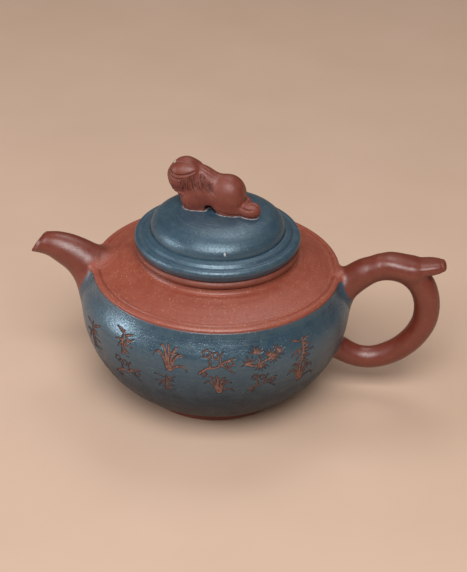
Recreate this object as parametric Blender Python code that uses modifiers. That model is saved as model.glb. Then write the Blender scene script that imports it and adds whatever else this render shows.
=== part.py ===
"""Yixing clay teapot with a lion knob: hand-built stoneware pieces luted together, and a lift-off lid.

Lengths below are millimetres and are scaled to metres by MM. Profiles are (radius, height) pairs on the
pot's own axis, with the foot's underside at height 0. The spout points to -X and the handle to +X.
"""
import math

import bmesh
import bpy
from mathutils import Vector

MM = 0.001

# Driving dimensions
BELLY_RADIUS = 50.0
BELLY_HEIGHT = 37.4
FOOT_RADIUS = 29.0
FOOT_HEIGHT = 3.2
SHOULDER_RADIUS = 45.3
SHOULDER_HEIGHT = 49.8
MOUTH_RADIUS = 25.4
MOUTH_TOP = 60.4
DOME_RADIUS = 24.4
DOME_BASE = 66.8
DOME_TOP = 74.2
SPOUT_REACH = 69.3
HANDLE_REACH = 83.8
WALL = 3.0
LID_WALL = 2.6
GAP = 0.3
AXIS_X = (SPOUT_REACH - HANDLE_REACH) / 2

TURNED_STEPS = 36
WELD = 0.00001
FULLNESS = 1.14

# Clay colours: base colour, roughness
RED_CLAY = ((0.30, 0.115, 0.075, 1.0), 0.55)
DARK_CLAY = ((0.20, 0.075, 0.050, 1.0), 0.60)
BLUE_SLIP = ((0.065, 0.105, 0.135, 1.0), 0.45)
LION_CLAY = ((0.27, 0.10, 0.075, 1.0), 0.50)


# ---------------------------------------------------------------- scene set-up

def clear_scene():
    for obj in list(bpy.data.objects):
        bpy.data.objects.remove(obj, do_unlink=True)


def new_collection(name):
    collection = bpy.data.collections.new(name)
    bpy.context.scene.collection.children.link(collection)
    return collection


def clay_material(name, finish):
    color, roughness = finish
    material = bpy.data.materials.new(name)
    material.use_nodes = True
    shader = material.node_tree.nodes["Principled BSDF"]
    shader.inputs["Base Color"].default_value = color
    shader.inputs["Roughness"].default_value = roughness
    shader.inputs["Metallic"].default_value = 0.0
    return material


def axis_empty(name, x=0.0, angle=0.0, parent=None):
    empty = bpy.data.objects.new(name, None)
    empty.location = (x * MM, 0.0, 0.0)
    empty.rotation_euler = (0.0, 0.0, math.radians(angle))
    empty.parent = parent
    bpy.context.scene.collection.objects.link(empty)
    return empty


def place(name, mesh, parent, finish=None):
    """Puts a mesh in the scene as a part with its own clay, or as a hidden cutter when no clay is given."""
    obj = bpy.data.objects.new(name, mesh)
    obj.parent = parent
    if finish is None:
        CUTTERS.objects.link(obj)
        obj.hide_render = True
        obj.display_type = "WIRE"
    else:
        PARTS.objects.link(obj)
        mesh.materials.append(clay_material(name + "_clay", finish))
    return obj


def cut(piece, *cutters):
    for cutter in cutters:
        modifier = piece.modifiers.new("cut_" + cutter.name, "BOOLEAN")
        modifier.operation = "DIFFERENCE"
        modifier.solver = "EXACT"
        modifier.object = cutter


# ---------------------------------------------------------------- outlines

def bezier(start, start_handle, end_handle, end, count):
    """Points along a cubic Bezier, both ends included."""
    points = []
    for i in range(count):
        t = i / (count - 1)
        a, b, c, d = (1 - t) ** 3, 3 * t * (1 - t) ** 2, 3 * t * t * (1 - t), t ** 3
        points.append(tuple(a * p + b * q + c * r + d * s
                            for p, q, r, s in zip(start, start_handle, end_handle, end)))
    return points


def arc(center, radius, start_angle, end_angle, count):
    points = []
    for i in range(count):
        angle = math.radians(start_angle + (end_angle - start_angle) * i / (count - 1))
        points.append((center[0] + radius * math.cos(angle), center[1] + radius * math.sin(angle)))
    return points


def offset(points, distance):
    """Moves an outline that runs down the outer side towards the axis side by distance."""
    moved = []
    for i, point in enumerate(points):
        before = points[max(i - 1, 0)]
        after = points[min(i + 1, len(points) - 1)]
        along = Vector((after[0] - before[0], after[1] - before[1])).normalized()
        moved.append((point[0] + distance * along[1], point[1] - distance * along[0]))
    return moved


def smooth_path(knots, spans):
    """Catmull-Rom curve through knots of any length, spans pieces between each pair."""
    path = []
    for i in range(len(knots) - 1):
        k0, k1, k2 = knots[max(i - 1, 0)], knots[i], knots[i + 1]
        k3 = knots[min(i + 2, len(knots) - 1)]
        for j in range(spans):
            t = j / spans
            path.append(tuple(
                0.5 * (2 * b + (c - a) * t + (2 * a - 5 * b + 4 * c - d) * t * t
                       + (3 * b - a - 3 * c + d) * t ** 3)
                for a, b, c, d in zip(k0, k1, k2, k3)))
    path.append(knots[-1])
    return path


# ---------------------------------------------------------------- solids

def turned(name, outline, parent, finish=None, closed=True):
    """A turned piece: the outline runs down its outer side, then back up the inner side."""
    mesh = bpy.data.meshes.new(name)
    vertices = [(r * MM, 0.0, z * MM) for r, z in outline]
    edges = [(i, i + 1) for i in range(len(outline) - 1)]
    if closed:
        edges.append((len(outline) - 1, 0))
    mesh.from_pydata(vertices, edges, [])
    obj = place(name, mesh, parent, finish)
    screw = obj.modifiers.new("turn", "SCREW")
    screw.axis = "Z"
    screw.angle = math.tau
    screw.steps = TURNED_STEPS
    screw.render_steps = TURNED_STEPS
    screw.use_merge_vertices = True
    screw.merge_threshold = WELD
    screw.use_smooth_shade = True
    return obj


def tube(name, path, parent, finish=None, sides_resolution=4):
    """A round tapering rod along (x, z, radius) points in the XZ plane, as a closed mesh."""
    curve = bpy.data.curves.new(name, "CURVE")
    curve.dimensions = "3D"
    curve.bevel_depth = MM
    curve.bevel_resolution = sides_resolution
    curve.use_fill_caps = True
    spline = curve.splines.new("POLY")
    spline.points.add(len(path) - 1)
    for point, (x, z, radius) in zip(spline.points, path):
        point.co = (x * MM, 0.0, z * MM, 1.0)
        point.radius = radius
    guide = bpy.data.objects.new(name + "_curve", curve)
    bpy.context.scene.collection.objects.link(guide)
    evaluated = guide.evaluated_get(bpy.context.evaluated_depsgraph_get())
    mesh = bpy.data.meshes.new_from_object(evaluated)
    bpy.data.objects.remove(guide, do_unlink=True)
    weld(mesh)
    mesh.name = name
    return place(name, mesh, parent, finish)


def weld(mesh):
    shape = bmesh.new()
    shape.from_mesh(mesh)
    bmesh.ops.remove_doubles(shape, verts=shape.verts, dist=WELD)
    bmesh.ops.recalc_face_normals(shape, faces=shape.faces)
    shape.to_mesh(mesh)
    shape.free()


def clay_form(name, stations, parent, finish=None, grow=0.0, sides=8):
    """A rounded lump from a coarse cage: rings (x, y, z, half width, half height) between two end points.

    grow makes the same lump larger all round, for cutting a neighbour with clearance. The cage's rings are
    FULLNESS times the stated size, because the subdivision draws the surface in.
    """
    shape = bmesh.new()
    rings = []
    for index, (x, y, z, half_width, half_height) in enumerate(stations):
        last = len(stations) - 1
        if index in (0, last):
            reach = -grow if index == 0 else grow
            rings.append([shape.verts.new(((x + reach) * MM, y * MM, z * MM))])
            continue
        ring = []
        for k in range(sides):
            turn = math.tau * (k + 0.5) / sides
            ring.append(shape.verts.new((
                x * MM,
                (y + (half_width + grow) * FULLNESS * math.cos(turn)) * MM,
                (z + (half_height + grow) * FULLNESS * math.sin(turn)) * MM)))
        rings.append(ring)
    for a, b in zip(rings, rings[1:]):
        for k in range(sides):
            n = (k + 1) % sides
            if len(a) == 1:
                shape.faces.new((a[0], b[k], b[n]))
            elif len(b) == 1:
                shape.faces.new((a[k], b[0], a[n]))
            else:
                shape.faces.new((a[k], b[k], b[n], a[n]))
    bmesh.ops.recalc_face_normals(shape, faces=shape.faces)
    for face in shape.faces:
        face.smooth = True
    mesh = bpy.data.meshes.new(name)
    shape.to_mesh(mesh)
    shape.free()
    obj = place(name, mesh, parent, finish)
    soften = obj.modifiers.new("soften", "SUBSURF")
    soften.levels = 1
    soften.render_levels = 1
    return obj


def round_cutter(name, start, end, radius, parent, sides=16):
    """A cylinder from one point to another, for a drilled hole."""
    start, end = Vector(start) * MM, Vector(end) * MM
    shape = bmesh.new()
    bmesh.ops.create_cone(shape, cap_ends=True, segments=sides, radius1=radius * MM,
                          radius2=radius * MM, depth=(end - start).length)
    mesh = bpy.data.meshes.new(name)
    shape.to_mesh(mesh)
    shape.free()
    obj = place(name, mesh, parent)
    obj.location = (start + end) / 2
    obj.rotation_mode = "QUATERNION"
    obj.rotation_quaternion = (end - start).to_track_quat("Z", "Y")
    return obj


# ---------------------------------------------------------------- the pot's outline

def body_outline(count_upper=4, count_lower=8):
    """The belly from the shoulder edge down to the foot."""
    upper = bezier((SHOULDER_RADIUS, SHOULDER_HEIGHT), (SHOULDER_RADIUS + 2.0, SHOULDER_HEIGHT - 5.7),
                   (BELLY_RADIUS, BELLY_HEIGHT + 5.4), (BELLY_RADIUS, BELLY_HEIGHT), count_upper)
    lower = bezier((BELLY_RADIUS, BELLY_HEIGHT), (BELLY_RADIUS, BELLY_HEIGHT - 10.9),
                   (FOOT_RADIUS + 15.6, FOOT_HEIGHT + 7.7), (FOOT_RADIUS, FOOT_HEIGHT), count_lower)
    return upper + lower[1:]


SHOULDER_TOP = 55.0
SHOULDER_UNDERSIDE = 52.1
SHOULDER_SLOPE = [(31.3, SHOULDER_TOP), (36.0, 53.1), (42.7, 50.95)]
LINE_INNER = 43.05
LINE_OUTER = 45.5
SEAT_HEIGHT = 50.05
NECK_RADIUS = 28.9
NECK_TOP = 57.2
DOME_HANDLES = ((14.5, 0.4), (-0.5, 6.2))


def dome_outline(count):
    """The lid's dome from its crown down to where it leaves the rim."""
    crown_handle = (DOME_HANDLES[0][0], DOME_TOP + DOME_HANDLES[0][1])
    side_handle = (DOME_RADIUS + DOME_HANDLES[1][0], DOME_BASE + DOME_HANDLES[1][1])
    return bezier((0.0, DOME_TOP), crown_handle, side_handle, (DOME_RADIUS, DOME_BASE), count)


# ---------------------------------------------------------------- pot body pieces

def make_base(axis):
    turned("foot_ring", [
        (FOOT_RADIUS, FOOT_HEIGHT - GAP), (FOOT_RADIUS - 0.3, 0.5), (FOOT_RADIUS - 0.8, 0.0),
        (25.0, 0.0), (24.5, 0.5), (24.5, FOOT_HEIGHT - GAP)], axis, DARK_CLAY)
    turned("base_disc", [
        (0.0, FOOT_HEIGHT + WALL), (FOOT_RADIUS - GAP, FOOT_HEIGHT + WALL),
        (FOOT_RADIUS - GAP, FOOT_HEIGHT), (0.0, FOOT_HEIGHT)], axis, RED_CLAY, closed=False)


def make_body_wall(axis):
    outside = body_outline()
    inside = offset(outside, WALL)
    inside[-1] = (FOOT_RADIUS, FOOT_HEIGHT + WALL + 0.6)
    wall = turned("body_wall", outside + inside[::-1], axis, BLUE_SLIP)
    return wall


def make_shoulder(axis):
    turned("shoulder_disc", SHOULDER_SLOPE + [
        (LINE_INNER - GAP, SEAT_HEIGHT), (SHOULDER_RADIUS - 0.2, SEAT_HEIGHT),
        (42.3, 49.15), (37.0, 49.7), (31.0, SHOULDER_UNDERSIDE),
        (MOUTH_RADIUS, SHOULDER_UNDERSIDE), (MOUTH_RADIUS, SHOULDER_TOP)],
        axis, RED_CLAY)
    base = SEAT_HEIGHT + GAP
    turned("shoulder_line", [
        (43.7, 51.2), (44.9, 51.15), (LINE_OUTER, 50.7), (LINE_OUTER - 0.2, base),
        (LINE_INNER, base), (LINE_INNER, 50.9)], axis, RED_CLAY)
    turned("neck_ring", [
        (NECK_RADIUS, NECK_TOP), (29.4, 56.2), (31.2, SHOULDER_TOP + GAP),
        (MOUTH_RADIUS, SHOULDER_TOP + GAP), (MOUTH_RADIUS, NECK_TOP)], axis, DARK_CLAY)
    lip = arc((28.6, 58.95), 1.45, 75, -75, 5)
    turned("mouth_rim", [(28.6, MOUTH_TOP)] + lip + [
        (NECK_RADIUS - 0.4, NECK_TOP + GAP), (MOUTH_RADIUS, NECK_TOP + GAP), (MOUTH_RADIUS, MOUTH_TOP)],
        axis, DARK_CLAY)


def make_pot_clearance(axis):
    """The pot's outside, one gap larger, for trimming what is luted onto it."""
    outside = offset(body_outline(), -GAP)
    outline = [(0.0, 56.5), (29.5, 56.5), (31.6, 55.6), (36.1, 53.4), (42.5, 51.35), (43.4, 51.6),
               (45.2, 51.55), (LINE_OUTER + GAP, 50.9), (LINE_OUTER + GAP, 50.0)]
    return turned("pot_clearance", outline + outside[1:] + [(0.0, FOOT_HEIGHT - GAP)], axis, closed=False)


# ---------------------------------------------------------------- spout

# (x, z, outer radius) from the tip to inside the pot
SPOUT_KNOTS = [(-71.5, 56.2, 4.05), (-67.0, 55.8, 4.05), (-63.5, 55.4, 4.3), (-60.0, 54.8, 5.1),
               (-56.5, 53.5, 5.9), (-53.0, 51.7, 6.5), (-50.0, 49.6, 7.2), (-47.2, 47.0, 8.2),
               (-44.0, 43.5, 9.6), (-41.5, 40.5, 10.6)]
# (x, z, bore radius): the bore swings lower than the spout to meet the wall below its top edge
BORE_KNOTS = [(-73.0, 56.3, 3.3), (-67.0, 55.8, 3.3), (-63.5, 55.4, 3.3), (-60.0, 54.7, 3.6),
              (-56.5, 53.2, 4.3), (-53.5, 50.9, 4.5), (-51.0, 47.9, 4.4), (-48.8, 45.0, 4.2),
              (-46.2, 43.0, 4.1), (-42.5, 41.5, 4.1), (-38.5, 40.8, 4.1)]
LIP_CENTER = (-66.35, 55.7)
LIP_TILT = 38.0
LIP_CUTTER_SIZE = 30.0


def make_spout(axis, pot_clearance):
    spout = tube("spout", smooth_path(SPOUT_KNOTS, 2), axis, RED_CLAY, sides_resolution=6)
    bore = tube("spout_bore", smooth_path(BORE_KNOTS, 2), axis, sides_resolution=5)
    shape = bmesh.new()
    bmesh.ops.create_cube(shape, size=LIP_CUTTER_SIZE * MM)
    mesh = bpy.data.meshes.new("lip_cut")
    shape.to_mesh(mesh)
    shape.free()
    lip_cut = place("lip_cut", mesh, axis)
    tilt = math.radians(LIP_TILT)
    reach = LIP_CUTTER_SIZE / 2
    lip_cut.location = ((LIP_CENTER[0] - reach * math.cos(tilt)) * MM, 0.0,
                        (LIP_CENTER[1] + reach * math.sin(tilt)) * MM)
    lip_cut.rotation_euler = (0.0, tilt, 0.0)
    cut(spout, pot_clearance, bore, lip_cut)
    return bore


# ---------------------------------------------------------------- strainer

STRAINER_CENTER = (-45.6, 42.4)
STRAINER_TILT = 12.0
STRAINER_RADIUS = 5.6
STRAINER_WALL = 1.1
HOLE_RADIUS = 0.75
STRAINER_STEPS = 20
HOLE_ROWS = ((0.0, 1), (30.0, 6), (58.0, 9))


def make_strainer(axis, wall_room):
    """A pierced dome inside the wall, over the spout's hole, bulging into the pot."""
    outer = [(0.0, STRAINER_RADIUS)] + arc((0, 0), STRAINER_RADIUS, 75, 0, 5) + [(STRAINER_RADIUS, -2.0)]
    inside_radius = STRAINER_RADIUS - STRAINER_WALL
    inner = [(inside_radius, -2.0)] + arc((0, 0), inside_radius, 0, 72, 5) + [(0.0, inside_radius)]
    dome = turned("spout_strainer", outer + inner, axis, RED_CLAY, closed=False)
    dome.modifiers["turn"].steps = STRAINER_STEPS
    dome.modifiers["turn"].render_steps = STRAINER_STEPS
    dome.location = (STRAINER_CENTER[0] * MM, 0.0, STRAINER_CENTER[1] * MM)
    dome.rotation_euler = (0.0, math.radians(90.0 + STRAINER_TILT), 0.0)
    for row, (polar, count) in enumerate(HOLE_ROWS):
        for k in range(count):
            around = math.tau * (k + 0.5 * (row % 2)) / count
            direction = Vector((math.sin(math.radians(polar)) * math.cos(around),
                                math.sin(math.radians(polar)) * math.sin(around),
                                math.cos(math.radians(polar))))
            drill = round_cutter(f"strainer_drill_{row}_{k}", direction * 4.0, direction * 7.0,
                                 HOLE_RADIUS, dome, sides=6)
            cut(dome, drill)
    cut(dome, wall_room)


def make_wall_room(axis):
    """The pot wall with one gap more on its inner side, for trimming the strainer's edge."""
    inside = offset(body_outline(), WALL + GAP)
    outline = [(60.0, inside[0][1]), (60.0, inside[-1][1])] + inside[::-1]
    return turned("wall_room", outline, axis)


# ---------------------------------------------------------------- handle

# (x, z, radius) from inside the upper root, over the top and back to the lower root
HANDLE_KNOTS = [(42.5, 40.5, 7.2), (46.5, 44.6, 6.4), (50.3, 48.0, 5.6), (54.5, 51.3, 5.25),
                (58.6, 53.1, 4.8), (62.8, 53.8, 4.7), (67.0, 53.3, 4.65), (71.2, 51.6, 4.8),
                (75.2, 47.9, 4.95), (77.6, 42.5, 4.85), (78.4, 36.8, 4.75), (77.7, 31.0, 4.65),
                (74.7, 24.6, 4.5), (70.0, 19.3, 4.4), (64.4, 15.7, 4.3), (59.5, 14.2, 4.2),
                (55.3, 14.2, 4.2), (51.8, 15.2, 4.3), (48.0, 17.1, 4.5), (43.5, 19.6, 4.9)]
# (x, y, z, half width, half height) along the tongue, from inside the loop's top to the tip
THUMB_STATIONS = [(60.0, 0.0, 55.4, 0.0, 0.0), (61.0, 0.0, 55.5, 2.6, 1.4), (66.0, 0.0, 55.5, 3.8, 1.8),
                  (70.0, 0.0, 54.9, 4.3, 2.0), (74.0, 0.0, 54.9, 4.4, 2.0), (78.0, 0.0, 55.4, 4.2, 2.0),
                  (81.4, 0.0, 55.9, 3.7, 1.9), (83.6, 0.0, 56.1, 2.2, 1.2), (83.95, 0.0, 56.1, 0.0, 0.0)]


def make_handle(axis, pot_clearance):
    path = smooth_path(HANDLE_KNOTS, 2)
    loop = tube("handle_loop", path, axis, RED_CLAY, sides_resolution=4)
    cut(loop, pot_clearance)
    loop_room = tube("loop_room", [(x, z, radius + GAP) for x, z, radius in path], axis)
    thumb = clay_form("handle_thumb_rest", THUMB_STATIONS, axis, RED_CLAY)
    cut(thumb, loop_room)


# ---------------------------------------------------------------- lid

FLANGE_RADIUS = 24.6
FLANGE_BOTTOM = 51.0
RIM_BOTTOM = MOUTH_TOP + GAP
DOME_SEAT = 63.4
VENT = (-0.6, -1.2)
VENT_RADIUS = 1.3
VENT_DRILL_HEIGHTS = (60.0, 80.0)


def make_lid(axis):
    bead = arc((28.4, 63.0), 1.8, 90, -25, 6)
    turned("lid_rim", [
        (DOME_RADIUS + GAP, 65.9), (26.2, 65.5), (27.5, 64.4)] + bead + [
        (29.5, RIM_BOTTOM), (DOME_RADIUS - LID_WALL, RIM_BOTTOM), (DOME_RADIUS - LID_WALL, DOME_SEAT),
        (DOME_RADIUS + GAP, DOME_SEAT)], axis, BLUE_SLIP)
    outside = dome_outline(7)
    inside = offset(outside, LID_WALL)
    inside[0] = (0.0, DOME_TOP - LID_WALL)
    inside[-1] = (DOME_RADIUS - LID_WALL, DOME_BASE)
    bottom = DOME_SEAT + GAP
    dome = turned("lid_dome", outside + [(DOME_RADIUS, bottom), (DOME_RADIUS - LID_WALL, bottom)]
                  + inside[::-1], axis, BLUE_SLIP, closed=False)
    turned("lid_flange", [
        (FLANGE_RADIUS, RIM_BOTTOM - GAP), (FLANGE_RADIUS, FLANGE_BOTTOM + 0.6),
        (FLANGE_RADIUS - 0.6, FLANGE_BOTTOM), (FLANGE_RADIUS - LID_WALL, FLANGE_BOTTOM),
        (FLANGE_RADIUS - LID_WALL, RIM_BOTTOM - GAP)], axis, RED_CLAY)
    return dome


def make_dome_room(axis):
    """The lid's dome filled in and one gap larger, for trimming what sits on it."""
    outside = offset(dome_outline(7), -GAP)
    outside[0] = (0.0, DOME_TOP + GAP)
    return turned("dome_room", outside + [(DOME_RADIUS + GAP, 60.0), (0.0, 60.0)], axis, closed=False)


# ---------------------------------------------------------------- lion knob

LION_TURN = -8.5

# Each form: (x, y, z, half width, half height) rings between two end points, with the head towards -X
LION_TORSO = [(-13.2, 0, 77.0, 0, 0), (-12.2, 0, 77.2, 3.4, 4.2), (-8.8, 0, 78.6, 5.0, 6.8),
              (-4.0, 0, 80.0, 5.2, 7.0), (1.5, 0, 79.9, 4.9, 6.9), (7.0, 0, 79.1, 4.8, 7.0),
              (10.4, 0, 77.2, 3.8, 5.4), (12.0, 0, 76.0, 0, 0)]
LION_HEAD = [(-19.1, 0, 85.2, 0, 0), (-18.1, 0, 85.3, 3.2, 3.8), (-15.6, 0, 85.6, 5.0, 5.9),
             (-12.2, 0, 86.3, 5.6, 6.8), (-8.6, 0, 86.0, 5.0, 5.8), (-5.6, 0, 85.4, 3.2, 3.6),
             (-4.8, 0, 85.2, 0, 0)]
LION_BEARD = [(-17.4, 0, 80.8, 0, 0), (-16.8, 0, 80.6, 2.6, 1.9), (-14.8, 0, 79.6, 3.8, 2.8),
              (-12.4, 0, 78.6, 3.8, 2.8), (-11.0, 0, 78.4, 0, 0)]
LION_EAR = [(-17.2, 4.2, 84.2, 0, 0), (-16.4, 4.6, 84.2, 1.5, 2.0), (-13.2, 5.1, 84.4, 1.9, 3.2),
            (-9.6, 5.1, 84.8, 1.9, 2.9), (-6.6, 4.6, 85.0, 1.4, 1.6), (-6.0, 4.4, 85.0, 0, 0)]
LION_FORELEG = [(-14.0, 3.4, 75.2, 0, 0), (-13.2, 3.5, 75.2, 1.7, 1.9), (-10.0, 4.2, 75.8, 2.3, 3.4),
                (-6.0, 4.4, 76.0, 2.3, 3.5), (-3.6, 4.1, 75.4, 1.7, 2.1), (-3.0, 4.0, 75.2, 0, 0)]
LION_THIGH = [(1.4, 4.0, 77.4, 0, 0), (2.2, 4.1, 77.4, 1.9, 3.4), (4.8, 4.3, 78.0, 2.7, 6.0),
              (8.2, 4.3, 77.8, 2.7, 6.0), (11.0, 3.9, 76.4, 2.0, 3.8), (11.9, 3.7, 76.0, 0, 0)]
LION_HINDPAW = [(8.4, 2.9, 74.6, 0, 0), (9.4, 2.9, 74.6, 2.0, 2.2), (12.4, 2.9, 74.4, 2.4, 2.5),
                (15.0, 2.7, 74.2, 2.1, 2.2), (16.3, 2.6, 74.0, 0, 0)]
SMALL_SIDES = 6
# (x, z) of the hollow under the belly, which runs from side to side
BELLY_ARCH = (-2.0, 73.6)
BELLY_ARCH_RADIUS = 2.6
BELLY_ARCH_REACH = 12.0


def mirrored(stations, side):
    return [(x, side * y, z, half_width, half_height) for x, y, z, half_width, half_height in stations]


def make_lion(axis, dome_room):
    head_room = clay_form("head_room", LION_HEAD, axis, grow=GAP)
    torso_room = clay_form("torso_room", LION_TORSO, axis, grow=GAP)
    beard_room = clay_form("beard_room", LION_BEARD, axis, grow=GAP, sides=SMALL_SIDES)
    arch = round_cutter("belly_arch", (BELLY_ARCH[0], -BELLY_ARCH_REACH, BELLY_ARCH[1]),
                        (BELLY_ARCH[0], BELLY_ARCH_REACH, BELLY_ARCH[1]), BELLY_ARCH_RADIUS, axis, sides=12)
    clay_form("lion_head", LION_HEAD, axis, LION_CLAY)
    torso = clay_form("lion_torso", LION_TORSO, axis, LION_CLAY)
    cut(torso, head_room, dome_room, arch)
    beard = clay_form("lion_beard", LION_BEARD, axis, LION_CLAY, sides=SMALL_SIDES)
    cut(beard, head_room, torso_room)
    for name, side in (("near", -1), ("far", 1)):
        ear = clay_form("lion_ear_" + name, mirrored(LION_EAR, side), axis, LION_CLAY, sides=SMALL_SIDES)
        cut(ear, head_room, torso_room)
        foreleg = clay_form("lion_foreleg_" + name, mirrored(LION_FORELEG, side), axis, LION_CLAY,
                            sides=SMALL_SIDES)
        cut(foreleg, torso_room, beard_room, dome_room)
        thigh_room = clay_form("thigh_room_" + name, mirrored(LION_THIGH, side), axis, grow=GAP)
        thigh = clay_form("lion_thigh_" + name, mirrored(LION_THIGH, side), axis, LION_CLAY)
        cut(thigh, torso_room, dome_room)
        paw = clay_form("lion_hindpaw_" + name, mirrored(LION_HINDPAW, side), axis, LION_CLAY,
                        sides=SMALL_SIDES)
        cut(paw, torso_room, thigh_room, dome_room)


# ---------------------------------------------------------------- build

clear_scene()
PARTS = new_collection("yixing_teapot")
CUTTERS = new_collection("cutters")

pot_axis = axis_empty("pot_axis", AXIS_X)
lid_axis = axis_empty("lid_axis", AXIS_X)
lion_axis = axis_empty("lion_axis", angle=LION_TURN, parent=lid_axis)

make_base(pot_axis)
body_wall = make_body_wall(pot_axis)
make_shoulder(pot_axis)
pot_clearance = make_pot_clearance(pot_axis)
spout_bore = make_spout(pot_axis, pot_clearance)
cut(body_wall, spout_bore)
make_strainer(pot_axis, make_wall_room(pot_axis))
make_handle(pot_axis, pot_clearance)

lid_dome = make_lid(lid_axis)
vent = round_cutter("vent_drill", (*VENT, VENT_DRILL_HEIGHTS[0]), (*VENT, VENT_DRILL_HEIGHTS[1]),
                    VENT_RADIUS, lid_axis, sides=12)
cut(lid_dome, vent)
make_lion(lion_axis, make_dome_room(lid_axis))
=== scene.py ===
"""Looks for the Yixing clay teapot with a lion on its lid.

The pot and the lid are turned shapes. The spout, handle, strainer and lion are modelled clay: each is a solid
given by a distance field and meshed here, and the spout and handle are filleted onto the pot. Lengths are
millimetres on the pot's own axis until a mesh is made. Turned outlines are (radius, height) pairs that run
down the outer side and back up the inner side. Angles round the pot start at +X and turn towards +Y; the
spout points to -X, and -Y is the near side.
"""

import math

import bpy
import numpy as np
from mathutils import Matrix, Vector


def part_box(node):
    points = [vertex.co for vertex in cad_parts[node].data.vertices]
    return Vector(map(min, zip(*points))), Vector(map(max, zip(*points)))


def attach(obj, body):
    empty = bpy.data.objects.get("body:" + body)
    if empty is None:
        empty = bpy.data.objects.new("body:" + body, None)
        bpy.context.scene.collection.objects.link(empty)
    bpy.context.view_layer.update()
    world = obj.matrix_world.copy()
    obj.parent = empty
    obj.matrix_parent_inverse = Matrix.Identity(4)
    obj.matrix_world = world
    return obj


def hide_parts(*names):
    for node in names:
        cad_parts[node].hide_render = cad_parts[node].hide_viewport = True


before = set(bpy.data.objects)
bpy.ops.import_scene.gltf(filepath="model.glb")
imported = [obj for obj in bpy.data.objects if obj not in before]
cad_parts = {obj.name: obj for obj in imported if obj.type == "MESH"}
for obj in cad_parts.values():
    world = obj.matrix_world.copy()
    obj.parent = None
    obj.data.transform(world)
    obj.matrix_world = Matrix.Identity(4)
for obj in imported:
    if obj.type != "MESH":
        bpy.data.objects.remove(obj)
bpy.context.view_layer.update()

MM = 0.001


def node_box(node):
    low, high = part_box(node)
    return np.array(low) / MM, np.array(high) / MM


def half_width(node):
    low, high = node_box(node)
    return (high[0] - low[0]) / 2


def top(node):
    return node_box(node)[1][2]


def bottom(node):
    return node_box(node)[0][2]


# Driving dimensions, from the frame
AXIS_X = (node_box("foot_ring")[0][0] + node_box("foot_ring")[1][0]) / 2
FOOT_RADIUS = half_width("foot_ring")
FOOT_HEIGHT = bottom("body_wall")
BELLY_RADIUS = half_width("body_wall")
SHOULDER_HEIGHT = top("body_wall")
LINE_RADIUS = half_width("shoulder_line")
MOUTH_TOP = top("mouth_rim")
LID_RADIUS = half_width("lid_rim")
DOME_RADIUS = half_width("lid_dome")
DOME_TOP = top("lid_dome")
FLANGE_RADIUS = half_width("lid_flange")
FLANGE_BOTTOM = bottom("lid_flange")

# Driving dimensions that no box gives
BELLY_HEIGHT = 37.4
FOOT_INNER = 24.4
SHOULDER_RADIUS = LINE_RADIUS - 0.2
MOUTH_RADIUS = 25.4
DOME_BASE = 66.8
WALL = 3.0
LID_WALL = 2.6
HAIRLINE = 0.03
LION_TURN = math.radians(-8.5)

TURNED_STEPS = 300
CALM_RADIUS = 5


# ---------------------------------------------------------------- outlines

def bezier(start, start_handle, end_handle, end, count=50):
    t = np.linspace(0, 1, count)[:, None]
    a, b, c, d = (np.array(p, float) for p in (start, start_handle, end_handle, end))
    return (1 - t) ** 3 * a + 3 * t * (1 - t) ** 2 * b + 3 * t ** 2 * (1 - t) * c + t ** 3 * d


def smooth_path(knots, spans):
    """Catmull-Rom curve through rows of numbers, with spans pieces between each pair."""
    knots = np.array(knots, float)
    padded = np.vstack([knots[:1], knots, knots[-1:]])
    pieces = []
    for a, b, c, d in zip(padded, padded[1:], padded[2:], padded[3:]):
        t = np.arange(spans)[:, None] / spans
        pieces.append(0.5 * (2 * b + (c - a) * t + (2 * a - 5 * b + 4 * c - d) * t ** 2
                             + (3 * b - a - 3 * c + d) * t ** 3))
    return np.vstack(pieces + [knots[-1:]])


def offset(points, distance):
    """Moves an outline that runs down the outer side towards the axis by distance."""
    along = np.gradient(points, axis=0)
    along /= np.linalg.norm(along, axis=1, keepdims=True)
    return points + distance * np.column_stack([along[:, 1], -along[:, 0]])


def spaced(points, spacing, closed=False):
    """The same outline with points no further apart than spacing, keeping every corner."""
    points = np.array(points, float)
    starts, ends = points, np.roll(points, -1, axis=0)
    if not closed:
        starts, ends = points[:-1], points[1:]
    result = []
    for a, b in zip(starts, ends):
        count = max(1, math.ceil(np.linalg.norm(b - a) / spacing))
        result.extend(a + (b - a) * i / count for i in range(count))
    if not closed:
        result.append(points[-1])
    return np.array(result)


def even(points, spacing):
    """An open outline resampled to equal steps."""
    length = np.concatenate([[0], np.cumsum(np.linalg.norm(np.diff(points, axis=0), axis=1))])
    steps = np.linspace(0, length[-1], max(2, round(length[-1] / spacing) + 1))
    return np.column_stack([np.interp(steps, length, points[:, 0]), np.interp(steps, length, points[:, 1])])


def rounded(corners, spacing=0.6, closed=True, steps=6):
    """An outline through (radius, height, fillet) corners, each turned by a curve of about that fillet."""
    points = []
    count = len(corners)
    for i, (r, z, fillet) in enumerate(corners):
        here = np.array((r, z), float)
        if fillet == 0:
            points.append(here)
            continue
        back = np.array(corners[i - 1][:2]) - here
        ahead = np.array(corners[(i + 1) % count][:2]) - here
        room = 0.45 * min(np.linalg.norm(back), np.linalg.norm(ahead))
        back, ahead = back / np.linalg.norm(back), ahead / np.linalg.norm(ahead)
        reach = min(fillet / math.tan(math.acos(np.clip(back @ ahead, -1, 1)) / 2), room)
        for k in range(steps + 1):
            t = k / steps
            points.append((1 - t) ** 2 * (here + back * reach) + 2 * t * (1 - t) * here
                          + t ** 2 * (here + ahead * reach))
    return spaced(points, spacing, closed)


def arc(center, radius, start, end, count=16):
    angles = np.radians(np.linspace(start, end, count))
    return np.column_stack([center[0] + radius * np.cos(angles), center[1] + radius * np.sin(angles)])


def plain(points):
    """Outline points as corners without fillets."""
    return [(r, z, 0) for r, z in points]


# ---------------------------------------------------------------- meshes

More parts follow.
